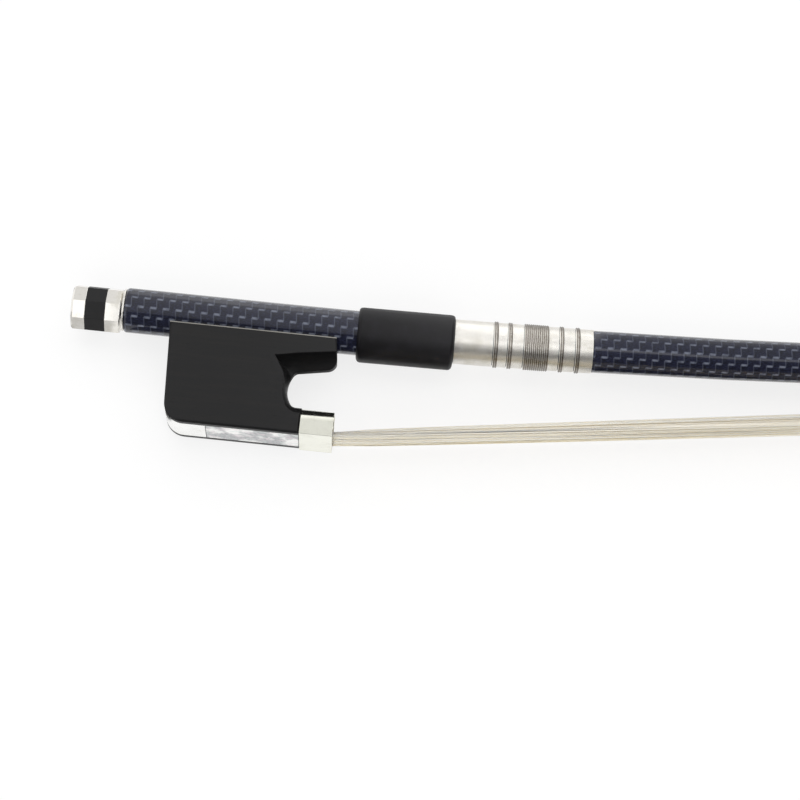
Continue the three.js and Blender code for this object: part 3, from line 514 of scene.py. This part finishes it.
def braidedCarbon(values):
    uniform = {"Specular IOR Level": 0.15, "Coat Weight": 1, "Coat Roughness": 0.05, "Coat IOR": 1.46}
    material, tree, surface, place = newMaterial("braided carbon, lacquered", **uniform)
    split = addNode(tree, "SeparateXYZ", {0: place})
    x, y, z = split.outputs
    nearRun = calc(tree, "MINIMUM", x, stickLine["change"])
    nearRun = calc(tree, "MAXIMUM", calc(tree, "SUBTRACT", nearRun, stickLine["start"]), 0)
    farRun = calc(tree, "MAXIMUM", calc(tree, "SUBTRACT", x, stickLine["change"]), 0)
    nearRise = calc(tree, "MULTIPLY", calc(tree, "MULTIPLY", nearRun, nearRun), 0.5 / stickLine["nearBend"])
    midRise = calc(tree, "MULTIPLY", calc(tree, "MULTIPLY", nearRun, farRun), 1 / stickLine["nearBend"])
    farRise = calc(tree, "MULTIPLY", calc(tree, "MULTIPLY", farRun, farRun), 0.5 / stickLine["farBend"])
    rise = calc(tree, "ADD", calc(tree, "ADD", nearRise, midRise), farRise)
    height = calc(tree, "SUBTRACT", y, rise)
    angle = calc(tree, "ARCTAN2", z, height)
    rowsPerRadian = values["rows"] / (2 * math.pi)
    around = calc(tree, "MULTIPLY_ADD", angle, rowsPerRadian, values["rows"] / 2 + values["turn"])
    row = calc(tree, "FLOOR", around)
    inRow = calc(tree, "FRACT", around)
    run = calc(tree, "MULTIPLY_ADD", row, values["step"], calc(tree, "ADD", x, values["start"]))
    run = calc(tree, "MULTIPLY_ADD", inRow, -values["skew"], run)
    phase = calc(tree, "FRACT", calc(tree, "DIVIDE", run, values["pitch"]))
    phase = calc(tree, "MULTIPLY", phase, values["pitch"])
    lower = calc(tree, "GREATER_THAN", inRow, 0.5)
    other = calc(tree, "SUBTRACT", values["pitch"], phase)
    way = addNode(tree, "Mix", {0: lower, 2: phase, 3: other})
    toUpright = calc(tree, "MINIMUM", phase, other)
    toEdge = calc(tree, "SUBTRACT", 0.5, calc(tree, "ABSOLUTE", calc(tree, "SUBTRACT", inRow, 0.5)))
    toEdge = calc(tree, "MULTIPLY", toEdge, values["rowHeight"])
    patchy = fade(tree, noise(tree, place, 0.45, 2), 0.3, 0.62, 0.45, 1)
    upright = fade(tree, toUpright, values["upright"] * 0.3, values["upright"], 1, 0)
    upright = calc(tree, "MULTIPLY", upright, patchy)
    length = values["step"] + values["skew"]
    dashEnd = fade(tree, way, length - 0.3, length + 0.1, 1, 0)
    dashStart = fade(tree, way, 0, 0.5, 0.5, 1)
    onDash = calc(tree, "MULTIPLY", dashEnd, dashStart)
    dash = calc(tree, "MULTIPLY", fade(tree, toEdge, values["dash"] * 0.3, values["dash"], 1, 0), onDash)
    dash = calc(tree, "MULTIPLY", dash, fade(tree, noise(tree, place, 0.6, 2), 0.3, 0.6, 0.4, 1))
    lines = calc(tree, "MAXIMUM", upright, dash)
    shadeOfBand = calc(tree, "MULTIPLY", phase, 1 / values["pitch"])
    tow = mixColors(tree, shadeOfBand, linear(values["towDark"]), linear(values["tow"]))
    streaks = noise(tree, stretched(tree, place, (1.6, 4, 4)), 1, 4, 0.7)
    tow = mixColors(tree, fade(tree, streaks, 0.44, 0.66), tow, linear(values["fibre"]))
    # The light lines are the braid's pattern and also a painted glint of its fibres at the tow edges
    color = mixColors(tree, upright, tow, linear(values["line"]))
    color = mixColors(tree, dash, color, linear(values["bright"]))
    soft = calc(tree, "MULTIPLY_ADD", noise(tree, place, 1.5, 3), 0.2, 0.3)
    ripple = noise(tree, place, 0.22, 2)
    relief = calc(tree, "MULTIPLY_ADD", lines, -0.5, streaks)
    feed(tree, surface, color=color, roughness=soft)
    feed(tree, surface, normal=bumped(tree, relief, 0.25, 0.05))
    feed(tree, surface, coatNormal=bumped(tree, ripple, 0.1, 0.12))
    return material


# Silver: polished by hand, with fine hairline scratches, a faint warm bloom and rounded edges that glint.
# The heel plate is whiter, a painted highlight; the ferrule is creamier; the lining under the stick is duller
# and darker, the darkness a painted shade under the stick.
silverLook = {"color": 0xF3F0EA, "bloom": 0xDEDACF, "scratch": 0.1}
# The heel plate's whiter silver is a painted highlight
heelHighlightLook = {"color": 0xFFFFFD, "bloom": 0xF4F3EE, "scratch": 0.1}
creamLook = {"color": 0xF8F8EC, "bloom": 0xEAE9DC, "scratch": 0.1}
# The lining's darker silver is painted shade under the stick; its dullness is roughness
liningShadeLook = {"color": 0xA09E98, "bloom": 0x7E7C76, "scratch": 0.2}


def roundedEdge(tree, radius):
    return addNode(tree, "Bevel", {"Radius": radius * mm}, samples=4)


def polishedSilver(name, values, edge=0.2, roughness=0.14):
    material, tree, surface, place = newMaterial(name, **{"Metallic": 1})
    clouds = noise(tree, place, 0.28, 4, 0.6)
    bloom = fade(tree, clouds, 0.42, 0.75, 0, 0.8)
    color = mixColors(tree, bloom, linear(values["color"]), linear(values["bloom"]))
    hair = noise(tree, stretched(tree, place, (0.6, 14, 11)), 1, 3, 0.7)
    cross = noise(tree, stretched(tree, place, (12, 0.7, 1)), 1, 2, 0.6)
    scratches = calc(tree, "MAXIMUM", fade(tree, hair, 0.6, 0.72), fade(tree, cross, 0.66, 0.78))
    dull = calc(tree, "MULTIPLY_ADD", scratches, values["scratch"], roughness)
    dull = calc(tree, "ADD", dull, fade(tree, clouds, 0.4, 0.8, 0, 0.1))
    corners = roundedEdge(tree, edge)
    feed(tree, surface, color=color, roughness=dull)
    feed(tree, surface, normal=bumped(tree, calc(tree, "ADD", scratches, clouds), 0.05, 0.02, corners))
    return material


# Oiled ebony: near black, close grain along the bow with short open pores, satin and never glossy
ebonyLook = {"base": 0x121213, "streak": 0x161515, "pore": 0x0A0A0A}


def oiledEbony(values):
    uniform = {"Specular IOR Level": 0.3}
    material, tree, surface, place = newMaterial("ebony, filed and oiled", **uniform)
    grain = noise(tree, stretched(tree, place, (0.06, 1.1, 1.1)), 1, 5, 0.6)
    pores = noise(tree, stretched(tree, place, (0.5, 7, 7)), 1, 2, 0.5)
    openPores = fade(tree, pores, 0.66, 0.74)
    color = mixColors(tree, fade(tree, grain, 0.4, 0.72), linear(values["base"]), linear(values["streak"]))
    color = mixColors(tree, openPores, color, linear(values["pore"]))
    patch = noise(tree, place, 0.12, 3)
    dull = calc(tree, "MULTIPLY_ADD", patch, 0.16, 0.36)
    dull = calc(tree, "MULTIPLY_ADD", openPores, 0.2, dull)
    relief = calc(tree, "MULTIPLY_ADD", openPores, -1, calc(tree, "MULTIPLY", grain, 0.4))
    corners = roundedEdge(tree, 0.35)
    feed(tree, surface, color=color, roughness=dull, normal=bumped(tree, relief, 0.25, 0.03, corners))
    return material


# Mother-of-pearl: cloudy grey and white bands with faint pink and green, glassy on top
pearlLook = {"white": 0xF8F7F4, "grey": 0x7E8084, "pink": 0xE2D2D6, "green": 0xC9D6CF}


def motherOfPearl(values):
    uniform = {"Coat Weight": 0.6, "Coat Roughness": 0.05, "Specular IOR Level": 0.6}
    material, tree, surface, place = newMaterial("mother-of-pearl, cut and polished", **uniform)
    warp = noise(tree, stretched(tree, place, (0.35, 0.3, 0.3)), 1, 2, 0.5)
    spread = addNode(tree, "VectorMath", {0: warp.outputs["Color"], "Scale": 2.5}, operation="SCALE")
    bent = addNode(tree, "VectorMath", {0: place, 1: spread}, operation="ADD")
    layers = noise(tree, stretched(tree, bent, (0.2, 0.4, 0.2)), 1, 2, 0.5)
    color = mixColors(tree, fade(tree, layers, 0.42, 0.62), linear(values["grey"]), linear(values["white"]))
    tints = noise(tree, stretched(tree, bent, (0.35, 1, 0.9)), 1, 2)
    color = mixColors(tree, fade(tree, tints, 0.5, 0.66, 0, 0.55), color, linear(values["pink"]))
    color = mixColors(tree, fade(tree, tints, 0.36, 0.5, 0.5, 0), color, linear(values["green"]))
    dull = calc(tree, "MULTIPLY_ADD", layers, 0.2, 0.12)
    corners = roundedEdge(tree, 0.08)
    feed(tree, surface, color=color, roughness=dull, normal=bumped(tree, layers, 0.08, 0.05, corners))
    return material


# Thumb grip: black rubber sleeve, moulded, satin, with a very fine grain
gripLook = {"base": 0x0C0B0E, "worn": 0x131216}


def mouldedRubber(values):
    material, tree, surface, place = newMaterial("black rubber, moulded", **{"Specular IOR Level": 0.26})
    blotch = noise(tree, place, 0.3, 4, 0.6)
    grain = noise(tree, place, 6, 3, 0.6)
    color = mixColors(tree, fade(tree, blotch, 0.4, 0.7), linear(values["base"]), linear(values["worn"]))
    dull = calc(tree, "MULTIPLY_ADD", blotch, 0.24, 0.36)
    relief = calc(tree, "MULTIPLY_ADD", grain, 0.5, blotch)
    feed(tree, surface, color=color, roughness=dull, normal=bumped(tree, relief, 0.25, 0.08))
    return material


# Wood planed or turned, with grain lines and darker flecks
def plainWood(name, light, dark, roughness):
    material, tree, surface, place = newMaterial(name, **{"Specular IOR Level": 0.3})
    grain = noise(tree, stretched(tree, place, (0.12, 1.6, 1.6)), 1, 5, 0.6)
    fleck = noise(tree, stretched(tree, place, (1, 9, 9)), 1, 2)
    color = mixColors(tree, fade(tree, grain, 0.35, 0.7), linear(light), linear(dark))
    color = mixColors(tree, fade(tree, fleck, 0.62, 0.75, 0, 0.5), color, linear(dark))
    dull = calc(tree, "MULTIPLY_ADD", grain, 0.2, roughness)
    corners = roundedEdge(tree, 0.15)
    feed(tree, surface, color=color, roughness=dull, normal=bumped(tree, grain, 0.3, 0.04, corners))
    return material


# Brass and steel off the lathe, with fine turning marks and a dull stain
def turnedMetal(name, light, dark, roughness):
    material, tree, surface, place = newMaterial(name, **{"Metallic": 1})
    marks = noise(tree, stretched(tree, place, (9, 0.5, 0.5)), 1, 3, 0.6)
    stain = noise(tree, place, 0.5, 3)
    color = mixColors(tree, fade(tree, stain, 0.4, 0.75), linear(light), linear(dark))
    dull = calc(tree, "MULTIPLY_ADD", marks, 0.2, roughness)
    corners = roundedEdge(tree, 0.12)
    feed(tree, surface, color=color, roughness=dull, normal=bumped(tree, marks, 0.2, 0.01, corners))
    return material


# Tip plate: warm white stock with faint long lines under a polish
tipPlateLook = {"light": 0xEDE8DA, "dark": 0xDDD4BF}


def tipPlateStock(values):
    material, tree, surface, place = newMaterial("ivory-coloured plate, polished", **{"Coat Weight": 0.3})
    lines = noise(tree, stretched(tree, place, (0.15, 3, 1.4)), 1, 4, 0.6)
    color = mixColors(tree, fade(tree, lines, 0.4, 0.7), linear(values["light"]), linear(values["dark"]))
    dull = calc(tree, "MULTIPLY_ADD", lines, 0.15, 0.25)
    corners = roundedEdge(tree, 0.25)
    feed(tree, surface, color=color, roughness=dull, normal=bumped(tree, lines, 0.1, 0.03, corners))
    return material


silver = polishedSilver("silver, hand polished", silverLook)
# Heel plate: silver with a painted highlight
highlightedSilver = polishedSilver("silver, painted highlight", heelHighlightLook)
creamSilver = polishedSilver("silver, rolled and soldered", creamLook)
# Lining: silver with painted shade under the stick
shadedDullSilver = polishedSilver("silver lining, dull, painted shade", liningShadeLook, 0.05, 0.3)
ebony = oiledEbony(ebonyLook)
boxwood = plainWood("boxwood, planed", 0xD0B078, 0xAE8A52, 0.45)
steel = turnedMetal("steel, turned", 0xB4B5B6, 0x8E8F91, 0.25)
finishes = {
    "carbon_stick": braidedCarbon(braid),
    "handle_insert": plainWood("beech dowel, turned", 0x4A3B2E, 0x33281F, 0.55),
    "butt_collar": silver,
    "thumb_grip": mouldedRubber(gripLook),
    "tip_plate": tipPlateStock(tipPlateLook),
    "tip_wedge": boxwood,
    "frog": ebony,
    "underslide": shadedDullSilver,
    "eyelet": turnedMetal("brass, turned", 0xC2A052, 0x96763A, 0.28),
    "ferrule": creamSilver,
    "pearl_slide": motherOfPearl(pearlLook),
    "slide_backing": ebony,
    "heel_plate": highlightedSilver,
    "frog_plug": boxwood,
    "spread_wedge": boxwood,
    "heel_pin_lower": silver,
    "heel_pin_upper": silver,
    "button_cap": silver,
    "button_core": ebony,
    "button_ring": silver,
}
for name, material in finishes.items():
    smoothNode(name)
    dress(name, material)
print("stage: materials of the solids")


# Lapping: one silver wire wound close, and in five bands a thicker dark wire between its turns
lapping = {
    "start": 98.75,
    "end": 134.4,
    "outsideNear": 5.82,
    "outsideFar": 5.68,
    "wire": 0.128,
    "darkWire": 0.25,
    "pitch": 0.26,
    "steps": 40,
    "sides": 6,
    "bands": {
        "dark_turn_by_grip": (109.2, 2),
        "dark_turn_before_band": (112.85, 2),
        "dark_middle_band": (119.45, 12),
        "dark_turn_after_band": (126.1, 2),
        "dark_turn_at_far_end": (130.1, 2),
    },
}


def lappingPoint(x, angle, radius):
    share = (x - lapping["start"]) / (lapping["end"] - lapping["start"])
    outside = lapping["outsideNear"] + (lapping["outsideFar"] - lapping["outsideNear"]) * share
    return stickPoint(x, outside - 2 * lapping["wire"] + radius, angle)


def stickPoint(x, radius, angle):
    slope = camberSlope(x)
    up = Vector((-slope, 1, 0)).normalized()
    middle = Vector((x, camberHeight(x), 0))
    return (middle + up * radius * math.cos(angle) + Vector((0, 0, radius * math.sin(angle)))) * mm


# The silver wire's turns as pairs of place and angle, and each dark wire's turns between them. Inside a band
# the silver turns are twice as far apart, and every dark wire starts and ends at the back of the stick.
def windings():
    silverPath = []
    darkPaths = {name: [] for name in lapping["bands"]}
    waiting = list(lapping["bands"].items())
    small = lapping["pitch"] / lapping["steps"]
    x = lapping["start"]
    step = 0
    left = 0
    while x < lapping["end"]:
        angle = 2 * math.pi * step / lapping["steps"]
        atBack = step % lapping["steps"] == 3 * lapping["steps"] // 4
        if waiting and not left and atBack:
            name, (centre, loops) = waiting[0]
            if x >= centre - lapping["pitch"] * (loops + 0.5):
                waiting.pop(0)
                left = loops * lapping["steps"]
                darkPaths[name].append((x + lapping["pitch"], angle))
        silverPath.append((x, angle))
        x += small * (2 if left else 1)
        step += 1
        if left:
            left -= 1
            darkPaths[name].append((x + lapping["pitch"], 2 * math.pi * step / lapping["steps"]))
    return silverPath, darkPaths


def wireRings(path, radius):
    points = [lappingPoint(x, angle, radius) for x, angle in path]
    rings = []
    for i, (x, angle) in enumerate(path):
        ahead = points[min(i + 1, len(points) - 1)] - points[max(i - 1, 0)]
        out = points[i] - Vector((x, camberHeight(x), 0)) * mm
        out = (out - ahead.normalized() * out.dot(ahead.normalized())).normalized()
        side = ahead.normalized().cross(out)
        ring = []
        for j in range(lapping["sides"]):
            turn = 2 * math.pi * j / lapping["sides"]
            ring.append(points[i] + (out * math.cos(turn) + side * math.sin(turn)) * radius * mm)
        rings.append(ring)
    return rings


def makeLapping():
    silverPath, darkPaths = windings()
    drawn = polishedSilver("silver wire, drawn and wound", silverLook, 0.02, 0.3)
    rings = wireRings(silverPath, lapping["wire"])
    piece = sweptPiece("wound_silver_wire", [(0, rings)], drawn, "stick")
    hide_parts("silver_lapping")
    dark = darkWire(darkLook)
    for name, turns in darkPaths.items():
        rings = wireRings(turns, lapping["darkWire"])
        piece = sweptPiece(name.replace("dark", "wound_dark"), [(0, rings)], dark, "stick")
        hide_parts(name)


# Dark wire: blackened metal, drawn and wound, so that it still mirrors the room but at a third of the silver
darkLook = {"color": 0x86817B, "brown": 0x665E54}


def darkWire(values):
    material, tree, surface, place = newMaterial("wire, blackened and wound", **{"Metallic": 1})
    streaks = noise(tree, stretched(tree, place, (4, 1, 1)), 1, 3, 0.6)
    color = mixColors(tree, fade(tree, streaks, 0.4, 0.7), linear(values["color"]), linear(values["brown"]))
    dull = calc(tree, "MULTIPLY_ADD", streaks, 0.2, 0.2)
    feed(tree, surface, color=color, roughness=dull, normal=bumped(tree, streaks, 0.2, 0.02))
    return material


makeLapping()
print("stage: lapping")


# Hair: a flat ribbon of separate hairs from the knot in the frog to the knot in the head
hair = {
    "heel": 25.8,
    "ferrule": 35.95,
    "mouth": 44.35,
    "mouthDepth": 28.9,
    "innerDepth": 28,
    "turn": 1.6,
    "knotPlace": 17.2,
    "knotDepth": 24.6,
    "innerWidth": 9.2,
    "mouthWidth": 12.2,
    "tipWidth": 7.4,
    "thickness": 0.9,
    "puff": 0.45,
    "loft": 2.2,
    "tipPlace": 682,
    "tipDrop": 20,
    "tipReach": 12.7,
    "tipTurn": 1.1,
    "tipRise": 3.2,
    "narrower": 0.4,
    "runSteps": 24,
    "bendSteps": 6,
    "strands": 180,
    "radius": 0.1,
    "thinness": (0.75, 1.15),
    "sides": 5,
    "stray": 0.02,
    "sway": 0.035,
    "waves": (0.6, 1.6),
    "heave": 0.25,
}


def hairLine(values):
    heel = values["heel"]
    line = []
    inner = values["innerWidth"] - values["narrower"]
    bends = values["bendSteps"]
    thick = values["thickness"]
    upX = heel + values["knotPlace"]
    line.append((upX, -values["knotDepth"], inner, thick))
    for i in range(bends + 1):
        angle = math.pi + math.pi / 2 * i / bends
        x = upX + values["turn"] * (1 + math.cos(angle))
        line.append((x, values["turn"] * (1 + math.sin(angle)) - values["innerDepth"], inner, thick))
    line.append((heel + values["ferrule"], -values["innerDepth"], values["innerWidth"], thick))
    mouth = Vector((heel + values["mouth"], -values["mouthDepth"]))
    tip = Vector((values["tipPlace"], camberHeight(values["tipPlace"]) - values["tipDrop"]))
    along = (tip - mouth).normalized()
    up = Vector((-along.y, along.x))
    length = (tip - mouth).length + values["tipReach"] - values["tipTurn"]
    runSteps = values["runSteps"]
    for i in range(runSteps + 1):
        share = (i / runSteps) ** 1.3
        spot = mouth + along * length * share
        width = values["mouthWidth"] + (values["tipWidth"] - values["mouthWidth"]) * share
        loose = share**0.7
        deep = thick + values["puff"] * min(share * 200, 1, (1 - share) * 60)
        line.append((*spot, width, deep + values["loft"] * 4 * loose * (1 - loose)))
    foot = mouth + along * length
    for i in range(1, bends + 1):
        angle = math.pi / 2 * i / bends
        spot = foot + (along * math.sin(angle) + up * (1 - math.cos(angle))) * values["tipTurn"]
        line.append((*spot, values["tipWidth"], thick))
    spot = foot + (along + up) * values["tipTurn"] + up * values["tipRise"]
    line.append((*spot, values["tipWidth"], thick))
    return line


def makeHair(values):
    line = hairLine(values)
    sweeps = []
    for index in range(values["strands"]):
        across = 2 * (index + 0.5) / values["strands"] - 1
        across = max(-1, min(1, across + chance.uniform(-values["stray"], values["stray"])))
        depth = chance.uniform(-1, 1) * math.sqrt(max(1 - across**6, 0))
        sway = chance.uniform(-values["sway"], values["sway"])
        waves = chance.uniform(*values["waves"])
        start = chance.uniform(0, 2 * math.pi)
        radius = values["radius"] * chance.uniform(*values["thinness"])
        rings = []
        for i, (x, y, width, thick) in enumerate(line):
            before = line[max(i - 1, 0)]
            after = line[min(i + 1, len(line) - 1)]
            along = Vector((after[0] - before[0], after[1] - before[1], 0)).normalized()
            up = Vector((-along.y, along.x, 0))
            turn = start + waves * 2 * math.pi * i / len(line)
            sideways = max(-1, min(1, across + sway * math.sin(turn)))
            over = max(-1, min(1, depth + values["heave"] * math.cos(turn)))
            room = (thick / 2 - radius) * over
            middle = Vector((x, y, 0)) + up * room
            middle.z = sideways * (width / 2 - radius)
            ring = []
            for j in range(values["sides"]):
                angle = 2 * math.pi * j / values["sides"]
                out = up * math.cos(angle) + Vector((0, 0, math.sin(angle)))
                ring.append((middle + out * radius) * mm)
            rings.append(ring)
        clump = 0.5 + 0.5 * math.sin(across * 9 + 2.3 * math.sin(across * 4))
        sweeps.append((0.6 * clump + 0.4 * chance.random(), rings))
    piece = sweptPiece("horse_hair", sweeps, horseHair(hairLook))
    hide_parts("hair_ribbon")
    start = (values["tipPlace"] * mm, camberHeight(values["tipPlace"]) * mm - values["tipDrop"] * mm, 0)
    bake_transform(piece)


# Horse hair: unbleached, cream to straw, each hair with its own tone and soft long highlights
hairLook = {"cream": 0xFFF6E4, "straw": 0xF6E6C6, "shadow": 0xD2BC98}


def horseHair(values):
    uniform = {
        "Specular IOR Level": 0.35,
        "Roughness": 0.45,
        "Subsurface Weight": 1,
        "Subsurface Scale": 0.5 * mm,
        "Subsurface Radius": (1, 0.95, 0.85),
    }
    material, tree, surface, place = newMaterial("horse hair, combed", **uniform)
    strand = addNode(tree, "UVMap", uv_map="strand")
    tone = addNode(tree, "SeparateXYZ", {0: strand}).outputs[0]
    color = mixColors(tree, fade(tree, tone, 0.05, 0.95), linear(values["straw"]), linear(values["cream"]))
    along = noise(tree, stretched(tree, place, (0.05, 4, 4)), 1, 3, 0.6)
    color = mixColors(tree, fade(tree, along, 0.6, 0.78, 0, 0.5), color, linear(values["shadow"]))
    scales = noise(tree, stretched(tree, place, (6, 2, 2)), 1, 2)
    feed(tree, surface, color=color, normal=bumped(tree, scales, 0.1, 0.02))
    return material


makeHair(hair)
print("stage: hair")


# Knots: the bundled hair bound with thread and its ends melted to a cap, in the frog and in the head
knots = {
    "frog": {
        "node": "frog_hair_knot",
        "name": "bound_knot_in_frog",
        "body": "frog",
        "size": (3.2, 3.9, 9),
        "turn": 0,
    },
    "tip": {
        "node": "tip_hair_knot",
        "name": "bound_knot_in_head",
        "body": "stick",
        "size": (2, 2.6, 7.4),
        "turn": 7.85,
    },
}


# Both knots are bound alike: threads round the middle, as shares of the height, and a round cap above them
binding = {
    "levels": 40,
    "sides": 32,
    "threads": 6,
    "from": 0.15,
    "to": 0.75,
    "hollow": 0.86,
    "ridge": 0.1,
    "bare": 0.9,
    "square": 0.6,
}


def squared(value):
    return math.copysign(abs(value) ** binding["square"], value)


def makeKnot(values, material):
    length, height, width = values["size"]
    first, last = binding["from"], binding["to"]
    rings = []
    for i in range(binding["levels"] + 1):
        share = i / binding["levels"]
        waist = binding["bare"]
        if first < share < last:
            wave = 2 * math.pi * binding["threads"] * (share - first) / (last - first)
            waist = binding["hollow"] + binding["ridge"] * (0.5 + 0.5 * math.cos(wave))
        if share > last:
            waist = math.sqrt(max(1 - ((share - 0.8) / 0.21) ** 2, 0.05))
        ring = []
        for j in range(binding["sides"]):
            angle = 2 * math.pi * j / binding["sides"]
            x = squared(math.cos(angle)) * length / 2 * waist
            z = squared(math.sin(angle)) * width / 2 * waist
            ring.append(Vector((x, height * share - height / 2, z)))
        rings.append(ring)
    turn = Matrix.Rotation(math.radians(values["turn"]), 4, "Z")
    low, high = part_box(values["node"])
    middle = (low + high) / 2
    rings = [[middle + (turn @ point) * mm for point in ring] for ring in rings]
    piece = sweptPiece(values["name"], [(0, rings)], material, values["body"])
    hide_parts(values["node"])


# Waxed thread over hair: buff with brown streaks, half dull where the resin has soaked in
resinLook = {"light": 0xD8C8A6, "dark": 0x9A7E52}


def boundThread(values):
    uniform = {"Specular IOR Level": 0.4}
    material, tree, surface, place = newMaterial("knot, bound and sealed with resin", **uniform)
    fibres = noise(tree, stretched(tree, place, (5, 1.2, 5)), 1, 4, 0.6)
    color = mixColors(tree, fade(tree, fibres, 0.35, 0.7), linear(values["light"]), linear(values["dark"]))
    dull = calc(tree, "MULTIPLY_ADD", fibres, 0.3, 0.35)
    feed(tree, surface, color=color, roughness=dull, normal=bumped(tree, fibres, 0.5, 0.05))
    return material


resin = boundThread(resinLook)
for values in knots.values():
    makeKnot(values, resin)
print("stage: knots")


# Screw: a plain shank, then a real thread up to the pilot that runs in the stick
screwLook = {
    "start": 1.4,
    "threadStart": 30,
    "threadEnd": 52.6,
    "reach": 58.5,
    "drop": 0.5,
    "radius": 1.6,
    "root": 1.36,
    "pilot": 1.1,
    "pitch": 0.7,
    "flank": 1.4,
    "flat": 0.2,
    "runIn": 0.4,
    "shoulder": 0.5,
    "chamfer": (0.4, 0.35),
    "sides": 24,
    "steps": 8,
}


def makeScrew(values):
    rings = []

    def ring(x, radiusAt):
        points = []
        for j in range(values["sides"]):
            angle = 2 * math.pi * j / values["sides"]
            radius = radiusAt(angle)
            y = radius * math.cos(angle) - values["drop"]
            points.append(Vector((x, y, radius * math.sin(angle))) * mm)
        rings.append(points)

    ring(values["start"], lambda angle: values["radius"])
    ring(values["threadStart"] - values["runIn"], lambda angle: values["radius"])
    count = round((values["threadEnd"] - values["threadStart"]) / values["pitch"] * values["steps"])
    for i in range(count + 1):
        x = values["threadStart"] + values["pitch"] * i / values["steps"]

        def threaded(angle):
            phase = (x / values["pitch"] - angle / (2 * math.pi)) % 1
            crest = values["flank"] * abs(2 * phase - 1) - values["flat"]
            return values["root"] + (values["radius"] - values["root"]) * min(1, max(0, crest))

        ring(x, threaded)
    length, depth = values["chamfer"]
    ring(values["threadEnd"] + values["shoulder"], lambda angle: values["pilot"])
    ring(values["reach"] - length, lambda angle: values["pilot"])
    ring(values["reach"], lambda angle: values["pilot"] - depth)
    piece = sweptPiece("threaded_screw", [(0, rings)], steel, "button")
    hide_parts("screw")


makeScrew(screwLook)
print("stage: screw")
